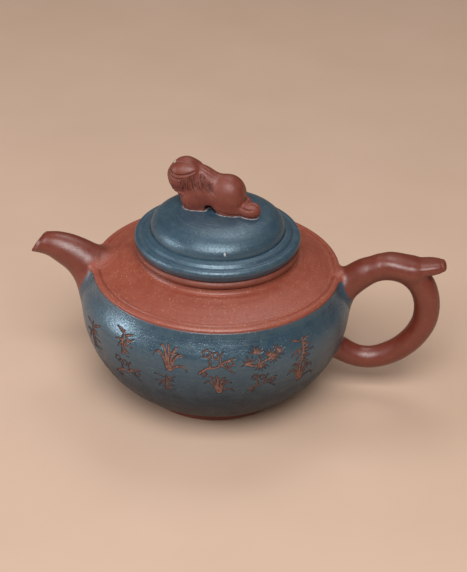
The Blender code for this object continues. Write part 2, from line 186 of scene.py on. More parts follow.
def wavering(angle, height):
    """The small unevenness of a pot turned and pared by hand."""
    return (0.050 * np.sin(2 * angle + 0.7) + 0.030 * np.sin(3 * angle + 0.09 * height)
            + 0.016 * np.sin(5 * angle - 0.21 * height + 2.0) + 0.010 * np.sin(11 * angle + 0.33 * height)
            + 0.008 * np.sin(0.9 * height + 2 * angle))


def add_mesh(name, points, quads, triangles=()):
    """A smooth-shaded mesh from points on the pot's own axis."""
    quads = np.array(quads, np.int32).reshape(-1, 4)
    triangles = np.array(triangles, np.int32).reshape(-1, 3)
    mesh = bpy.data.meshes.new(name)
    mesh.vertices.add(len(points))
    mesh.vertices.foreach_set("co", ((points + (AXIS_X, 0, 0)) * MM).astype(np.float32).ravel())
    mesh.loops.add(quads.size + triangles.size)
    mesh.loops.foreach_set("vertex_index", np.concatenate([quads.ravel(), triangles.ravel()]))
    mesh.polygons.add(len(quads) + len(triangles))
    starts = np.concatenate([np.arange(len(quads)) * 4, quads.size + np.arange(len(triangles)) * 3])
    mesh.polygons.foreach_set("loop_start", starts.astype(np.int32))
    mesh.update(calc_edges=True)
    mesh.polygons.foreach_set("use_smooth", np.ones(len(mesh.polygons), bool))
    piece = bpy.data.objects.new(name, mesh)
    bpy.context.scene.collection.objects.link(piece)
    return piece


def points_of(piece):
    """A piece's points in millimetres on the pot's own axis."""
    flat = np.empty(len(piece.data.vertices) * 3, np.float32)
    piece.data.vertices.foreach_get("co", flat)
    return flat.reshape(-1, 3) / MM - (AXIS_X, 0, 0)


def paint(piece, name, values):
    """Stores one number per point for a material to read."""
    attribute = piece.data.attributes.new(name, "FLOAT", "POINT")
    attribute.data.foreach_set("value", np.array(values, np.float32).ravel())


def spot(points, center, squeeze, outer, inner):
    """1 within inner of a center, 0 past outer, with each direction stretched by squeeze."""
    return step_between(outer, inner, np.linalg.norm((points - center) * squeeze, axis=1))


def settle(piece, body, slot, material, *nodes):
    """Gives a piece its clay and its body, and hides the CAD nodes that it stands for."""
    piece.data.materials.append(material)
    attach(piece, body)
    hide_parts(*nodes)


def turned(name, outline, closed=True, angles=None, relief=0.0):
    """A turned piece. relief is how far each point moves outward, as an (angles, outline) array.

    An outline that isn't closed starts and ends on the axis.
    """
    if angles is None:
        angles = np.linspace(0, math.tau, TURNED_STEPS, endpoint=False)
    r, z = outline[:, 0], outline[:, 1]
    along = np.gradient(outline, axis=0)
    along /= np.maximum(np.linalg.norm(along, axis=1, keepdims=True), 1e-9)
    push = np.broadcast_to(relief, (len(angles), len(outline)))
    radius = r - push * along[:, 1] + np.minimum(r / CALM_RADIUS, 1) * wavering(angles[:, None], z)
    height = z + push * along[:, 0]
    points = np.stack([radius * np.cos(angles)[:, None], radius * np.sin(angles)[:, None], height], -1)
    if not closed:
        points = points[:, 1:-1]
    index = np.arange(points.shape[0] * points.shape[1]).reshape(points.shape[:2])
    around = np.roll(index, -1, axis=0)
    ahead, around_ahead = np.roll(index, -1, axis=1), np.roll(around, -1, axis=1)
    quads = np.stack([index, ahead, around_ahead, around], -1)
    if closed:
        return add_mesh(name, points.reshape(-1, 3), quads)
    first = index.size
    poles = [(0, 0, z[0]), (0, 0, z[-1])]
    caps = [(first, a, b) for a, b in zip(index[:, 0], around[:, 0])]
    caps += [(first + 1, b, a) for a, b in zip(index[:, -1], around[:, -1])]
    return add_mesh(name, np.vstack([points.reshape(-1, 3), poles]), quads[:, :-1], caps)


def drilled(piece, *tools):
    """Cuts tools out of a piece and removes them."""
    for tool in tools:
        modifier = piece.modifiers.new("drill", "BOOLEAN")
        modifier.operation = "DIFFERENCE"
        modifier.solver = "EXACT"
        modifier.object = tool
    evaluated = piece.evaluated_get(bpy.context.evaluated_depsgraph_get())
    mesh = bpy.data.meshes.new_from_object(evaluated)
    piece.modifiers.clear()
    piece.data = mesh
    for tool in tools:
        bpy.data.objects.remove(tool, do_unlink=True)


def rod(name, path, radius, sides=40):
    """A round tool along points, for cutting a hole."""
    path = np.array(path, float)
    radius = np.broadcast_to(radius, len(path))
    along = np.gradient(path, axis=0)
    along /= np.linalg.norm(along, axis=1, keepdims=True)
    side = np.cross(along, (0.0, 1.0, 0.0))
    side /= np.linalg.norm(side, axis=1, keepdims=True)
    other = np.cross(along, side)
    turn = np.linspace(0, math.tau, sides, endpoint=False)[:, None, None]
    rings = path + radius[:, None] * (np.cos(turn) * side + np.sin(turn) * other)
    index = np.arange(rings.shape[0] * rings.shape[1]).reshape(rings.shape[:2])
    around = np.roll(index, -1, axis=0)
    quads = np.stack([index[:, :-1], around[:, :-1], around[:, 1:], index[:, 1:]], -1)
    first = index.size
    caps = [(first, b, a) for a, b in zip(index[:, 0], around[:, 0])]
    caps += [(first + 1, a, b) for a, b in zip(index[:, -1], around[:, -1])]
    return add_mesh(name, np.vstack([rings.reshape(-1, 3), path[:1], path[-1:]]), quads, caps)


# ---------------------------------------------------------------- distance fields, negative inside

def smooth_union(a, b, softness):
    """Joins two solids with a fillet about as wide as softness."""
    mix = np.clip(0.5 + 0.5 * (b - a) / softness, 0, 1)
    return b + (a - b) * mix - softness * mix * (1 - mix)


def smooth_cut(a, b, softness):
    """Takes solid b out of solid a, with a soft edge."""
    return -smooth_union(-a, b, softness)


def step_between(low, high, value):
    t = np.clip((value - low) / (high - low), 0, 1)
    return t * t * (3 - 2 * t)


def nearest_on_path(x, z, path):
    """For points in the plane of a path: the signed offset from it, and how far along it in points."""
    best = np.full(np.broadcast(x, z).shape, np.inf)
    side = np.ones_like(best)
    place = np.zeros_like(best)
    for i, (a, b) in enumerate(zip(path, path[1:])):
        run, rise = b[0] - a[0], b[1] - a[1]
        t = np.clip(((x - a[0]) * run + (z - a[1]) * rise) / (run * run + rise * rise), 0, 1)
        away_x, away_z = x - a[0] - t * run, z - a[1] - t * rise
        distance = away_x ** 2 + away_z ** 2
        closer = distance < best
        best = np.where(closer, distance, best)
        side = np.where(closer, np.where(run * away_z - rise * away_x < 0, -1, 1), side)
        place = np.where(closer, i + t, place)
    return side * np.sqrt(best), place


def along_path(place, values):
    return np.interp(place, np.arange(len(values)), values)


FAR = 1000.0


class Block:
    """A regular grid of sample points with one distance for each."""

    def __init__(self, low, high, step):
        self.low, self.step = np.array(low, float), step
        counts = np.ceil((np.array(high) - self.low) / step).astype(int) + 1
        self.axes = [self.low[i] + step * np.arange(counts[i]) for i in range(3)]
        self.field = np.full(counts, FAR, np.float32)

    def window(self, low, high):
        """The slices and coordinates of the samples between two corners."""
        parts = tuple(slice(*np.searchsorted(axis, (a, b))) for axis, a, b in zip(self.axes, low, high))
        x, y, z = (axis[part] for axis, part in zip(self.axes, parts))
        return parts, x[:, None, None], y[None, :, None], z[None, None, :]

    def whole(self):
        x, y, z = self.axes
        return x[:, None, None], y[None, :, None], z[None, None, :]

    def at(self, points):
        """The field at any points inside the block, by linear interpolation."""
        place = (points - self.low) / self.step
        cell = np.clip(np.floor(place).astype(int), 0, np.array(self.field.shape) - 2)
        t = np.clip(place - cell, 0, 1)
        total = 0
        for corner in np.ndindex(2, 2, 2):
            weight = np.prod(np.where(corner, t, 1 - t), axis=1)
            i, j, k = (cell + corner).T
            total = total + weight * self.field[i, j, k]
        return total

    def surface(self, name):
        """The mesh of the field's zero level, by surface nets, each point at the mean of the edge crossings
        in its cell.
        """
        inside = self.field < 0
        n = np.array(self.field.shape) - 1
        corners = list(np.ndindex(2, 2, 2))
        filled = sum(inside[i:i + n[0], j:j + n[1], k:k + n[2]].astype(np.int8) for i, j, k in corners)
        active = (filled > 0) & (filled < 8)
        cells = np.argwhere(active)
        index = np.full(active.shape, -1, np.int32)
        index[active] = np.arange(len(cells))
        value = {c: self.field[tuple((cells + c).T)] for c in corners}
        total, hits = np.zeros((len(cells), 3)), np.zeros(len(cells))
        for a in corners:
            for axis in range(3):
                if a[axis]:
                    continue
                b = tuple(c + (i == axis) for i, c in enumerate(a))
                crossing = (value[a] < 0) != (value[b] < 0)
                t = value[a] / np.where(crossing, value[a] - value[b], 1)
                point = np.tile(np.array(a, float), (len(cells), 1))
                point[:, axis] = t
                total += point * crossing[:, None]
                hits += crossing
        points = self.low + self.step * (cells + total / hits[:, None])
        quads = []
        for axis in range(3):
            one, two = (axis + 1) % 3, (axis + 2) % 3
            ahead = np.roll(inside, -1, axis)
            core = [slice(1, n[i]) for i in range(3)]
            core[axis] = slice(0, n[axis])
            core = tuple(core)
            for sign, change in ((1, inside & ~ahead), (-1, ~inside & ahead)):
                found = np.argwhere(change[core]) + [0 if i == axis else 1 for i in range(3)]
                back_one, back_two = np.eye(3, dtype=int)[one], np.eye(3, dtype=int)[two]
                ring = [found - back_one - back_two, found - back_two, found, found - back_one]
                ring = [index[tuple(cell.T)] for cell in ring]
                quads.append(np.stack(ring if sign > 0 else ring[::-1], -1))
        return add_mesh(name, points, np.vstack(quads))


# ---------------------------------------------------------------- the pot's outline

def body_outline():
    """The belly from the shoulder's edge down to the foot."""
    upper = bezier((SHOULDER_RADIUS, SHOULDER_HEIGHT), (SHOULDER_RADIUS + 2.0, SHOULDER_HEIGHT - 5.7),
                   (BELLY_RADIUS, BELLY_HEIGHT + 5.4), (BELLY_RADIUS, BELLY_HEIGHT))
    lower = bezier((BELLY_RADIUS, BELLY_HEIGHT), (BELLY_RADIUS, BELLY_HEIGHT - 10.9),
                   (FOOT_RADIUS + 15.6, FOOT_HEIGHT + 7.7), (FOOT_RADIUS, FOOT_HEIGHT))
    return np.vstack([upper, lower[1:]])


SHOULDER_SLOPE = [(31.3, 55.0), (33.2, 54.1), (36.0, 53.05), (39.5, 51.9), (41.6, 51.27)]
SEAT_HEIGHT = SHOULDER_HEIGHT + 0.22
LINE_INNER = 43.05
NECK_RADIUS = 28.9
NECK_TOP = 57.2
SHOULDER_TOP = 55.0
DOME_SEAT = 63.4
LID_BOTTOM = MOUTH_TOP + 0.3


class PotField:
    """Distance to the pot's outside, looked up in a table over radius and height."""
    STEP = 0.1
    RADIUS = (20.0, 62.0)
    HEIGHT = (-4.0, 66.0)

    def __init__(self):
        outline = [(0, 58.0), (28.5, 58.0), (29.4, 56.2)] + SHOULDER_SLOPE
        outline += [(43.0, 51.0), (43.7, 51.25), (LINE_RADIUS - 0.5, 51.1), (LINE_RADIUS, 50.5),
                    (LINE_RADIUS, SHOULDER_HEIGHT)]
        outline = np.vstack([outline, body_outline(), [(0, FOOT_HEIGHT)]])
        r = np.arange(*self.RADIUS, self.STEP)[:, None]
        z = np.arange(*self.HEIGHT, self.STEP)[None, :]
        distance, _ = nearest_on_path(r, z, outline)
        self.table = np.abs(distance) * np.where(self.encloses(outline, r, z), -1, 1)

    @staticmethod
    def encloses(outline, r, z):
        crossings = np.zeros(np.broadcast(r, z).shape, int)
        for (r0, z0), (r1, z1) in zip(outline, outline[1:]):
            if z0 == z1:
                continue
            between = (z >= min(z0, z1)) & (z < max(z0, z1))
            crossings += between & (r < r0 + (z - z0) * (r1 - r0) / (z1 - z0))
        return crossings % 2 == 1

    def __call__(self, x, y, z):
        radius = np.hypot(x, y) - wavering(np.arctan2(y, x), z)
        i = (radius - self.RADIUS[0]) / self.STEP
        j = (z - self.HEIGHT[0]) / self.STEP
        i, j = np.broadcast_arrays(np.clip(i, 0, self.table.shape[0] - 1.01),
                                   np.clip(j, 0, self.table.shape[1] - 1.01))
        a, b = i.astype(int), j.astype(int)
        s, t = i - a, j - b
        lower = self.table[a, b] * (1 - t) + self.table[a, b + 1] * t
        upper = self.table[a + 1, b] * (1 - t) + self.table[a + 1, b + 1] * t
        return lower * (1 - s) + upper * s


pot_field = PotField()

SKIRT = 0.8
FEATHER = 0.05


def luted(shape, pot, softness):
    """A shape filleted onto the pot. What stands off the pot's surface stays, with a shallow skirt."""
    fused = smooth_union(shape, pot, softness)
    return np.maximum(np.maximum(fused, -(pot + SKIRT)), fused - pot + FEATHER)


# ---------------------------------------------------------------- turned pieces

def turned_piece(name, body, slot, material, node, corners, spacing, closed=True):
    """Turns rounded corners into a piece that stands for one CAD node."""
    piece = turned(name, rounded(corners, spacing, closed), closed)
    settle(piece, body, slot, material, node)


def make_foot():
    drop = FOOT_HEIGHT - HAIRLINE
    turned_piece("turned_foot", "pot", "dark_clay", DARK_CLAY, "foot_ring", [
        (FOOT_RADIUS - 0.1, drop, 0.15), (FOOT_RADIUS - 0.2, 1.0, 0.8), (FOOT_RADIUS - 0.9, 0.0, 0.5),
        (FOOT_INNER + 0.6, 0.0, 0.4), (FOOT_INNER, 1.2, 0.5), (FOOT_INNER, drop, 0.1)], 0.35)
    floor_top = FOOT_HEIGHT + WALL
    edge = FOOT_RADIUS - HAIRLINE - 0.3
    turned_piece("base", "pot", "red_clay", INNER_CLAY, "base_disc", [
        (0.0, floor_top, 0), (FOOT_RADIUS - 2.0, floor_top + 0.1, 2), (edge, floor_top + 0.4, 0.1),
        (edge, FOOT_HEIGHT, 0.1), (0.0, FOOT_HEIGHT, 0)], 0.8, closed=False)


def make_shoulder():
    slope = smooth_path(SHOULDER_SLOPE, 10)
    edge = LINE_INNER - HAIRLINE
    turned_piece("shoulder", "pot", "red_clay", RED_CLAY, "shoulder_disc", plain(slope) + [
        (42.1, 51.28, 0.3), (42.62, 51.22, 0.2), (42.82, 50.86, 0.12), (edge, 50.84, 0.02),
        (edge, SEAT_HEIGHT, 0.1), (SHOULDER_RADIUS - 0.2, SEAT_HEIGHT, 0.1), (42.3, 49.15, 0.3),
        (37.0, 49.7, 1), (31.0, 52.0, 1), (MOUTH_RADIUS, 52.1, 0.5), (MOUTH_RADIUS, SHOULDER_TOP, 0)], 0.35)
    seat = SEAT_HEIGHT + HAIRLINE
    turned_piece("shoulder_bead", "pot", "red_clay", RED_CLAY, "shoulder_line", [
        (LINE_INNER + 0.12, 50.9, 0.1), (LINE_INNER + 0.5, 51.3, 0.4), (LINE_RADIUS - 0.8, 51.22, 0.7),
        (LINE_RADIUS - 0.05, 50.6, 0.5), (SHOULDER_RADIUS + 0.02, SHOULDER_HEIGHT + 0.05, 0.1),
        (SHOULDER_RADIUS - 0.15, seat, 0.05), (LINE_INNER, seat, 0.1), (LINE_INNER, 50.86, 0.02)], 0.2)
    turned_piece("neck", "pot", "red_clay", RED_CLAY, "neck_ring", [
        (NECK_RADIUS - 0.1, NECK_TOP, 0.1), (NECK_RADIUS + 0.1, 56.5, 0.4), (29.35, 55.75, 0.9),
        (30.3, 55.3, 0.9), (31.5, SHOULDER_TOP + HAIRLINE - 0.02, 0.03),
        (MOUTH_RADIUS, SHOULDER_TOP + HAIRLINE, 0.1), (MOUTH_RADIUS, NECK_TOP, 0.1)], 0.25)
    lip = arc((28.6, 58.95), 1.45, 78, -70)
    turned_piece("mouth_lip", "pot", "dark_clay", DARK_CLAY, "mouth_rim", plain(lip) + [
        (NECK_RADIUS - 0.3, NECK_TOP + HAIRLINE, 0.2), (MOUTH_RADIUS, NECK_TOP + HAIRLINE, 0.1),
        (MOUTH_RADIUS, MOUTH_TOP, 0.35)], 0.3)


# ---------------------------------------------------------------- carved sprigs on the belly

# Each motif: (kind, angle from the spout towards the near side, height, size)
MOTIFS = [
    ("bamboo", 34.8, 34.6, 1.22), ("bamboo", 55.6, 40.3, 0.98), ("plum", 56.3, 29.4, 1.02),
    ("orchid", 76.1, 39.9, 1.00), ("bamboo", 75.4, 29.7, 0.80), ("plum", 95.8, 40.0, 1.02),
    ("orchid", 96.4, 31.0, 0.84), ("pine", 114.3, 40.8, 1.08), ("plum", 114.7, 31.0, 0.84),
    ("bamboo", 133.5, 39.7, 1.05), ("orchid", 132.2, 30.6, 0.98),
]
CARVE_DEPTH = 0.5
STROKE = 0.46
SPRIG_SEED = 7
SPRIG_HALF_WIDTH = 8.5
SPRIG_HALF_HEIGHT = 7.0
CARVED_SPACING = 0.2
CARVED_ANGLES = (22.0, 148.0)
CARVED_HEIGHTS = (22.5, 47.0)


def stroke(points, widths):
    """A brush stroke: a smooth line with a half width at each of its points."""
    knots = np.column_stack([np.array(points, float), np.broadcast_to(widths, len(points))])
    return smooth_path(knots, 5)


def leaf(x, z, direction, length, width, bend=0.0):
    """A pointed leaf from (x, z) in a direction given in degrees."""
    a = math.radians(direction)
    along, across = np.array((math.cos(a), math.sin(a))), np.array((-math.sin(a), math.cos(a)))
    points = [np.array((x, z)) + along * length * t + across * bend * length * 4 * t * (1 - t)
              for t in (0, 0.3, 0.65, 1)]
    return stroke(points, (0.35 * width, width, 0.75 * width, 0.12))


# Bamboo joints: (low, high). Its leaves and the orchid's petals start at (x, z) in a direction in degrees.
BAMBOO_JOINTS = [(-4.4, -1.7), (-1.3, 1.4), (1.8, 4.2)]
BAMBOO_LEAVES = [(-1.0, 3.2, 18), (-1.0, 3.0, -22), (-0.9, 0.6, 30), (-0.9, 0.3, -12), (-0.9, 0.0, -48),
                 (-1.4, 1.0, 196), (-1.4, 0.8, 232), (-1.2, -2.4, -8), (-1.2, -2.6, -40), (-1.5, 3.4, 165)]
# Orchid blades: (reach, rise, drop of the tip)
ORCHID_BLADES = [(-6.0, 3.4, 1.6), (-4.2, 4.6, 0.4), (-1.4, 4.8, 0), (2.6, 4.4, 0.2), (5.2, 3.4, 1.2),
                 (6.6, 1.2, 2.0)]
# Plum flowers: (x, z, size)
PLUM_FLOWERS = [(-4.0, 3.6, 1.15), (-0.9, 3.0, 1.0), (4.2, 0.2, 0.95), (-4.4, -4.0, 0.8)]
# Pine tufts: (x, z, direction, needles)
PINE_TUFTS = [(-2.2, 2.0, 90, 7), (2.4, 0.4, 80, 7), (5.2, 1.4, 40, 6), (-4.6, -1.2, 110, 5),
              (-1.0, -1.8, 265, 6), (3.4, 0.4, 285, 6)]
TUFT_SPREAD = 150


def bamboo(draw):
    strokes = []
    lean = draw.uniform(-0.5, 0.5)
    for level, (low, high) in enumerate(BAMBOO_JOINTS):
        x = -1.2 + lean * level
        strokes.append(stroke([(x, low), (x + 0.1, (low + high) / 2), (x + 0.3 * lean, high)],
                              (STROKE, 0.8 * STROKE, STROKE)))
    for x, z, direction in BAMBOO_LEAVES:
        strokes.append(leaf(x, z, direction + draw.uniform(-8, 8), draw.uniform(3.4, 5.0),
                            0.95 * STROKE, -0.05))
    return strokes


def orchid(draw):
    strokes = []
    for reach, rise, drop in ORCHID_BLADES:
        height = -4.0 + 1.9 * rise
        strokes.append(stroke([(0.1 * reach, -4.2), (0.35 * reach, -4.0 + 1.3 * rise),
                               (0.75 * reach, height), (reach, height - drop + draw.uniform(-0.4, 0.4))],
                              (0.8 * STROKE, STROKE, 0.9 * STROKE, 0.15)))
    for direction in (35, 100, 160, 250):
        strokes.append(leaf(1.4, 2.2, direction + draw.uniform(-10, 10), 1.9, 0.8 * STROKE))
    return strokes


def plum(draw):
    strokes = [stroke([(-6.2, -3.6), (-3.6, -1.6), (-0.6, -1.2), (2.0, 0.8), (5.8, 2.2)],
                      (0.5, 1.1 * STROKE, STROKE, 0.9 * STROKE, 0.25)),
               stroke([(-2.8, -1.5), (-2.6, 1.0), (-3.8, 3.4)], (0.9 * STROKE, 0.7 * STROKE, 0.2)),
               stroke([(1.0, 0.0), (3.4, -1.6), (5.6, -3.4)], (0.9 * STROKE, 0.7 * STROKE, 0.25)),
               stroke([(0.8, 0.2), (0.8, 2.6), (1.8, 4.4)], (0.8 * STROKE, 0.6 * STROKE, 0.2))]
    for x, z, size in PLUM_FLOWERS:
        start = draw.uniform(0, 72)
        for k in range(5):
            a = math.radians(start + 72 * k)
            b = math.radians(start + 72 * k + 50)
            middle = (a + b) / 2
            strokes.append(stroke([(x + size * math.cos(a), z + size * math.sin(a)),
                                   (x + 1.25 * size * math.cos(middle), z + 1.25 * size * math.sin(middle)),
                                   (x + size * math.cos(b), z + size * math.sin(b))], 0.62 * STROKE))
    return strokes


def pine(draw):
    strokes = [stroke([(-6.0, -1.0), (-2.6, -2.0), (1.0, -0.4), (5.4, 1.2)],
                      (1.1 * STROKE, STROKE, 0.9 * STROKE, 0.25)),
               stroke([(-1.8, -1.6), (-1.2, 0.8), (-2.2, 2.6)], (0.8 * STROKE, 0.6 * STROKE, 0.2))]
    for x, z, direction, count in PINE_TUFTS:
        for k in range(count):
            spread = TUFT_SPREAD * (k / (count - 1) - 0.5)
            strokes.append(leaf(x, z, direction + spread + draw.uniform(-4, 4), draw.uniform(2.3, 2.9),
                                0.62 * STROKE))
    return strokes


SPRIGS = {"bamboo": bamboo, "orchid": orchid, "plum": plum, "pine": pine}


def carved_amount(strokes, u, v):
    """How deep a burin has cut at each (u, v): 1 on a stroke, 0 off it."""
    depth = np.full(u.shape, -10.0)
    for line in strokes:
        for a, b in zip(line, line[1:]):
            run = b[:2] - a[:2]
            t = np.clip(((u - a[0]) * run[0] + (v - a[1]) * run[1]) / max(run @ run, 1e-6), 0, 1)
            distance = np.hypot(u - a[0] - t * run[0], v - a[1] - t * run[1])
            depth = np.maximum(depth, a[2] + t * (b[2] - a[2]) - distance)
    return step_between(-0.12, 0.26, depth)


def make_belly():
    outside = body_outline()
    heights = outside[:, 1]
    band = (heights <= CARVED_HEIGHTS[1]) & (heights >= CARVED_HEIGHTS[0])
    first, last = np.flatnonzero(band)[[0, -1]]
    shoulder_part = even(outside[:first + 1], 0.45)
    carved_part = even(outside[first:last + 1], CARVED_SPACING)
    foot_part = even(outside[last:], 0.6)
    outer = np.vstack([shoulder_part[:-1], carved_part, foot_part[1:]])
    inside = even(offset(outside, WALL), 1.0)
    inside = inside[inside[:, 1] > FOOT_HEIGHT + WALL + 1.0]
    floor_edge = (FOOT_RADIUS - 0.3, FOOT_HEIGHT + WALL + 0.45)
    seat = (SHOULDER_RADIUS, SHOULDER_HEIGHT + 0.18)
    outline = np.vstack([outer[1:], [(FOOT_RADIUS - 0.3, FOOT_HEIGHT + 0.05)], [floor_edge],
                         inside[::-1], [(42.5, 49.0)], [seat]])
    start, end = (math.radians(180 + a) for a in CARVED_ANGLES)
    dense = np.linspace(start, end, round((end - start) * BELLY_RADIUS / CARVED_SPACING))
    coarse = np.linspace(end, start + math.tau, 190)
    angles = np.concatenate([dense, coarse[1:-1]])

    run = np.concatenate([[0], np.cumsum(np.linalg.norm(np.diff(outline, axis=0), axis=1))])
    rows = np.arange(len(outer) - 1)
    carved = np.zeros((len(angles), len(outline)))
    draw = np.random.default_rng(SPRIG_SEED)
    for kind, angle, height, size in MOTIFS:
        center = math.radians(180 + angle)
        middle = np.interp(-height, -outline[rows, 1], run[rows])
        u = (angles - center) * BELLY_RADIUS / size
        v = (middle - run[rows]) / size
        near_u = np.flatnonzero(np.abs(u) < SPRIG_HALF_WIDTH)
        near_v = np.flatnonzero(np.abs(v) < SPRIG_HALF_HEIGHT)
        grid_u, grid_v = np.meshgrid(u[near_u], v[near_v], indexing="ij")
        amount = carved_amount(SPRIGS[kind](draw), grid_u, grid_v)
        where = np.ix_(near_u, near_v)
        carved[where] = np.maximum(carved[where], amount)
    belly = turned("belly", outline, angles=angles, relief=-CARVE_DEPTH * carved)
    paint(belly, "carved", carved)
    ragged = 0.25 * np.sin(31 * angles) + 0.2 * np.sin(53 * angles + 1.0) + 0.15 * np.sin(97 * angles)
    worn_from, worn_to = SHOULDER_HEIGHT - 0.35, SHOULDER_HEIGHT + 0.15
    worn = step_between(worn_from, worn_to, outline[:, 1] + 0.3 * ragged[:, None])
    paint(belly, "worn", worn * (outline[:, 0] > SHOULDER_RADIUS - 0.5))
    bore = smooth_path([(x, 0.0, z, radius) for x, z, radius in BORE_KNOTS[5:]], 4)
    drilled(belly, rod("bore_tool", bore[:, :3], bore[:, 3]))
    settle(belly, "pot", "blue_slip", BLUE_SLIP, "body_wall")


# ---------------------------------------------------------------- spout and strainer

def paint_slip(piece):
    """Marks where the belly's slip laps onto a luted root, and where the root meets the shoulder."""
    points = points_of(piece)
    x, y, z = points.T
    ragged = 0.10 * np.sin(1.3 * y + 0.9 * z) + 0.05 * np.sin(2.9 * z + 1.7 * y)
    away = pot_field(x, y, z)
    paint(piece, "slip", step_between(1.7, 0.9, away + ragged) * step_between(50.1, 49.3, z + 2.0 * ragged))
    paint(piece, "root", step_between(2.6, 0.4, away) * step_between(49.0, 50.0, z))


# (x, z, outer radius) from the tip to inside the pot
SPOUT_KNOTS = [(-71.5, 56.2, 4.05), (-67.0, 55.8, 4.05), (-63.5, 55.4, 4.3), (-60.0, 54.8, 5.1),
               (-56.5, 53.5, 5.9), (-53.0, 51.7, 6.5), (-50.0, 49.6, 7.2), (-47.2, 47.0, 8.2),
               (-44.0, 43.5, 9.6), (-41.5, 40.5, 10.6)]
# (x, z, bore radius)
BORE_KNOTS = [(-73.0, 56.25, 3.6), (-67.0, 55.75, 3.55), (-63.5, 55.4, 3.3), (-60.0, 54.7, 3.6),
              (-56.5, 53.2, 4.3), (-53.5, 50.9, 4.5), (-51.0, 47.9, 4.4), (-48.8, 45.0, 4.2),
              (-46.2, 43.0, 4.1), (-42.5, 41.5, 4.1), (-38.5, 40.8, 4.1)]
LIP_CENTER = (-66.35, 55.7)
LIP_TILT = math.radians(38.0)
LIP_EDGE = 0.6
BORE_EDGE = 0.25
SPOUT_FILLET = 4.0
SPOUT_BLOCK = ((-71.0, -13.0, 33.0), (-35.5, 13.0, 62.0), 0.27)


def round_sweep(x, y, z, knots):
    """Distance to a round rod whose centre line lies in the XZ plane."""
    path = smooth_path(knots, 8)
    away, place = nearest_on_path(x, z, path)
    return np.hypot(away, y) - along_path(place, path[:, 2])


def beyond_lip(x, z):
    """How far a point lies past the slanted plane of the spout's lip."""
    return -math.cos(LIP_TILT) * (x - LIP_CENTER[0]) + math.sin(LIP_TILT) * (z - LIP_CENTER[1])


def make_spout():
    block = Block(*SPOUT_BLOCK)
    x, y, z = block.whole()
    shape = luted(round_sweep(x, y, z, SPOUT_KNOTS), pot_field(x, y, z), SPOUT_FILLET)
    shape = smooth_cut(shape, -beyond_lip(x, z), LIP_EDGE)
    block.field = smooth_cut(shape, round_sweep(x, y, z, BORE_KNOTS), BORE_EDGE)
    spout = block.surface("spout_form")
    paint_slip(spout)
    x, y, z = points_of(spout).T
    # Painted shade: the bore is darkened from a millimetre inside the lip inwards, where light doesn't reach
    on_bore = step_between(0.45, 0.15, round_sweep(x, y, z, BORE_KNOTS))
    paint(spout, "painted_shade", on_bore * step_between(-1.0, -4.0, beyond_lip(x, z)))
    settle(spout, "pot", "red_clay", JOINED_CLAY, "spout")


STRAINER_CENTER = np.array((-45.6, 0.0, 42.4))
STRAINER_TILT = math.radians(12.0)
STRAINER_RADIUS = 5.6
STRAINER_WALL = 1.1
HOLE_RADIUS = 0.75
STRAINER_GRID = 0.16
# (angle from the dome's axis in degrees, holes)
HOLE_ROWS = ((0.0, 1), (30.0, 6), (58.0, 9))


def make_strainer():
    block = Block(STRAINER_CENTER - (4.5, 7.0, 7.5), STRAINER_CENTER + (7.0, 7.0, 7.0), STRAINER_GRID)
    x, y, z = block.whole()
    x, y, z = x - STRAINER_CENTER[0], y - STRAINER_CENTER[1], z - STRAINER_CENTER[2]
    middle = STRAINER_RADIUS - STRAINER_WALL / 2
    shell = np.abs(np.sqrt(x * x + y * y + z * z) - middle) - STRAINER_WALL / 2
    axis = Vector((math.cos(STRAINER_TILT), 0.0, -math.sin(STRAINER_TILT)))
    up = Vector((math.sin(STRAINER_TILT), 0.0, math.cos(STRAINER_TILT)))
    for row, (polar, count) in enumerate(HOLE_ROWS):
        for k in range(count):
            around = math.tau * (k + 0.5 * (row % 2)) / count
            spoke = up * math.cos(around) + Vector((0, 1, 0)) * math.sin(around)
            way = axis * math.cos(math.radians(polar)) + spoke * math.sin(math.radians(polar))
            reach = x * way[0] + y * way[1] + z * way[2]
            across = np.sqrt(np.maximum(x * x + y * y + z * z - reach * reach, 0))
            shell = np.where(reach > 0, smooth_cut(shell, across - HOLE_RADIUS, 0.25), shell)
    inner_wall = pot_field(*block.whole()) + WALL
    collar = np.abs(inner_wall + 0.4) - 0.4 + 3 * (shell > 1.2)
    block.field = np.maximum(smooth_union(shell, collar, 0.6), inner_wall)
    block.field = np.maximum(block.field, shell - 0.7)
    strainer = block.surface("strainer_form")
    settle(strainer, "pot", "red_clay", INNER_CLAY, "spout_strainer")


# ---------------------------------------------------------------- handle

# (x, z, radius) from inside the upper root, over the top and back to the lower root
HANDLE_KNOTS = [(42.5, 40.5, 7.2), (46.5, 44.6, 6.4), (50.3, 48.0, 5.6), (54.5, 51.3, 5.25),
                (58.6, 53.1, 4.8), (62.8, 53.8, 4.7), (67.0, 53.3, 4.65), (71.2, 51.6, 4.8),
                (75.2, 47.9, 4.95), (77.6, 42.5, 4.85), (78.4, 36.8, 4.75), (77.7, 31.0, 4.65),
                (74.7, 24.6, 4.5), (70.0, 19.3, 4.4), (64.4, 15.7, 4.3), (59.5, 14.2, 4.2),
                (55.3, 14.2, 4.2), (51.8, 15.2, 4.3), (48.0, 17.1, 4.5), (43.5, 19.6, 4.9)]
# (x, z, half width, half height) along the tongue, from inside the loop's top to the tip
THUMB_KNOTS = [(60.0, 55.5, 1.6, 1.0), (63.0, 55.9, 3.2, 1.8), (66.0, 55.5, 4.1, 2.1), (70.0, 54.9, 4.6, 2.3),
               (74.0, 54.8, 4.9, 2.4), (78.0, 55.4, 4.6, 2.3), (80.8, 55.8, 3.9, 2.0), (82.0, 56.0, 3.2, 1.7)]


HANDLE_FILLET = 3.0
HANDLE_BLOCK = ((39.0, -8.5, 6.0), (86.0, 8.5, 62.0), 0.32)
TONGUE_SQUARENESS = 3.2


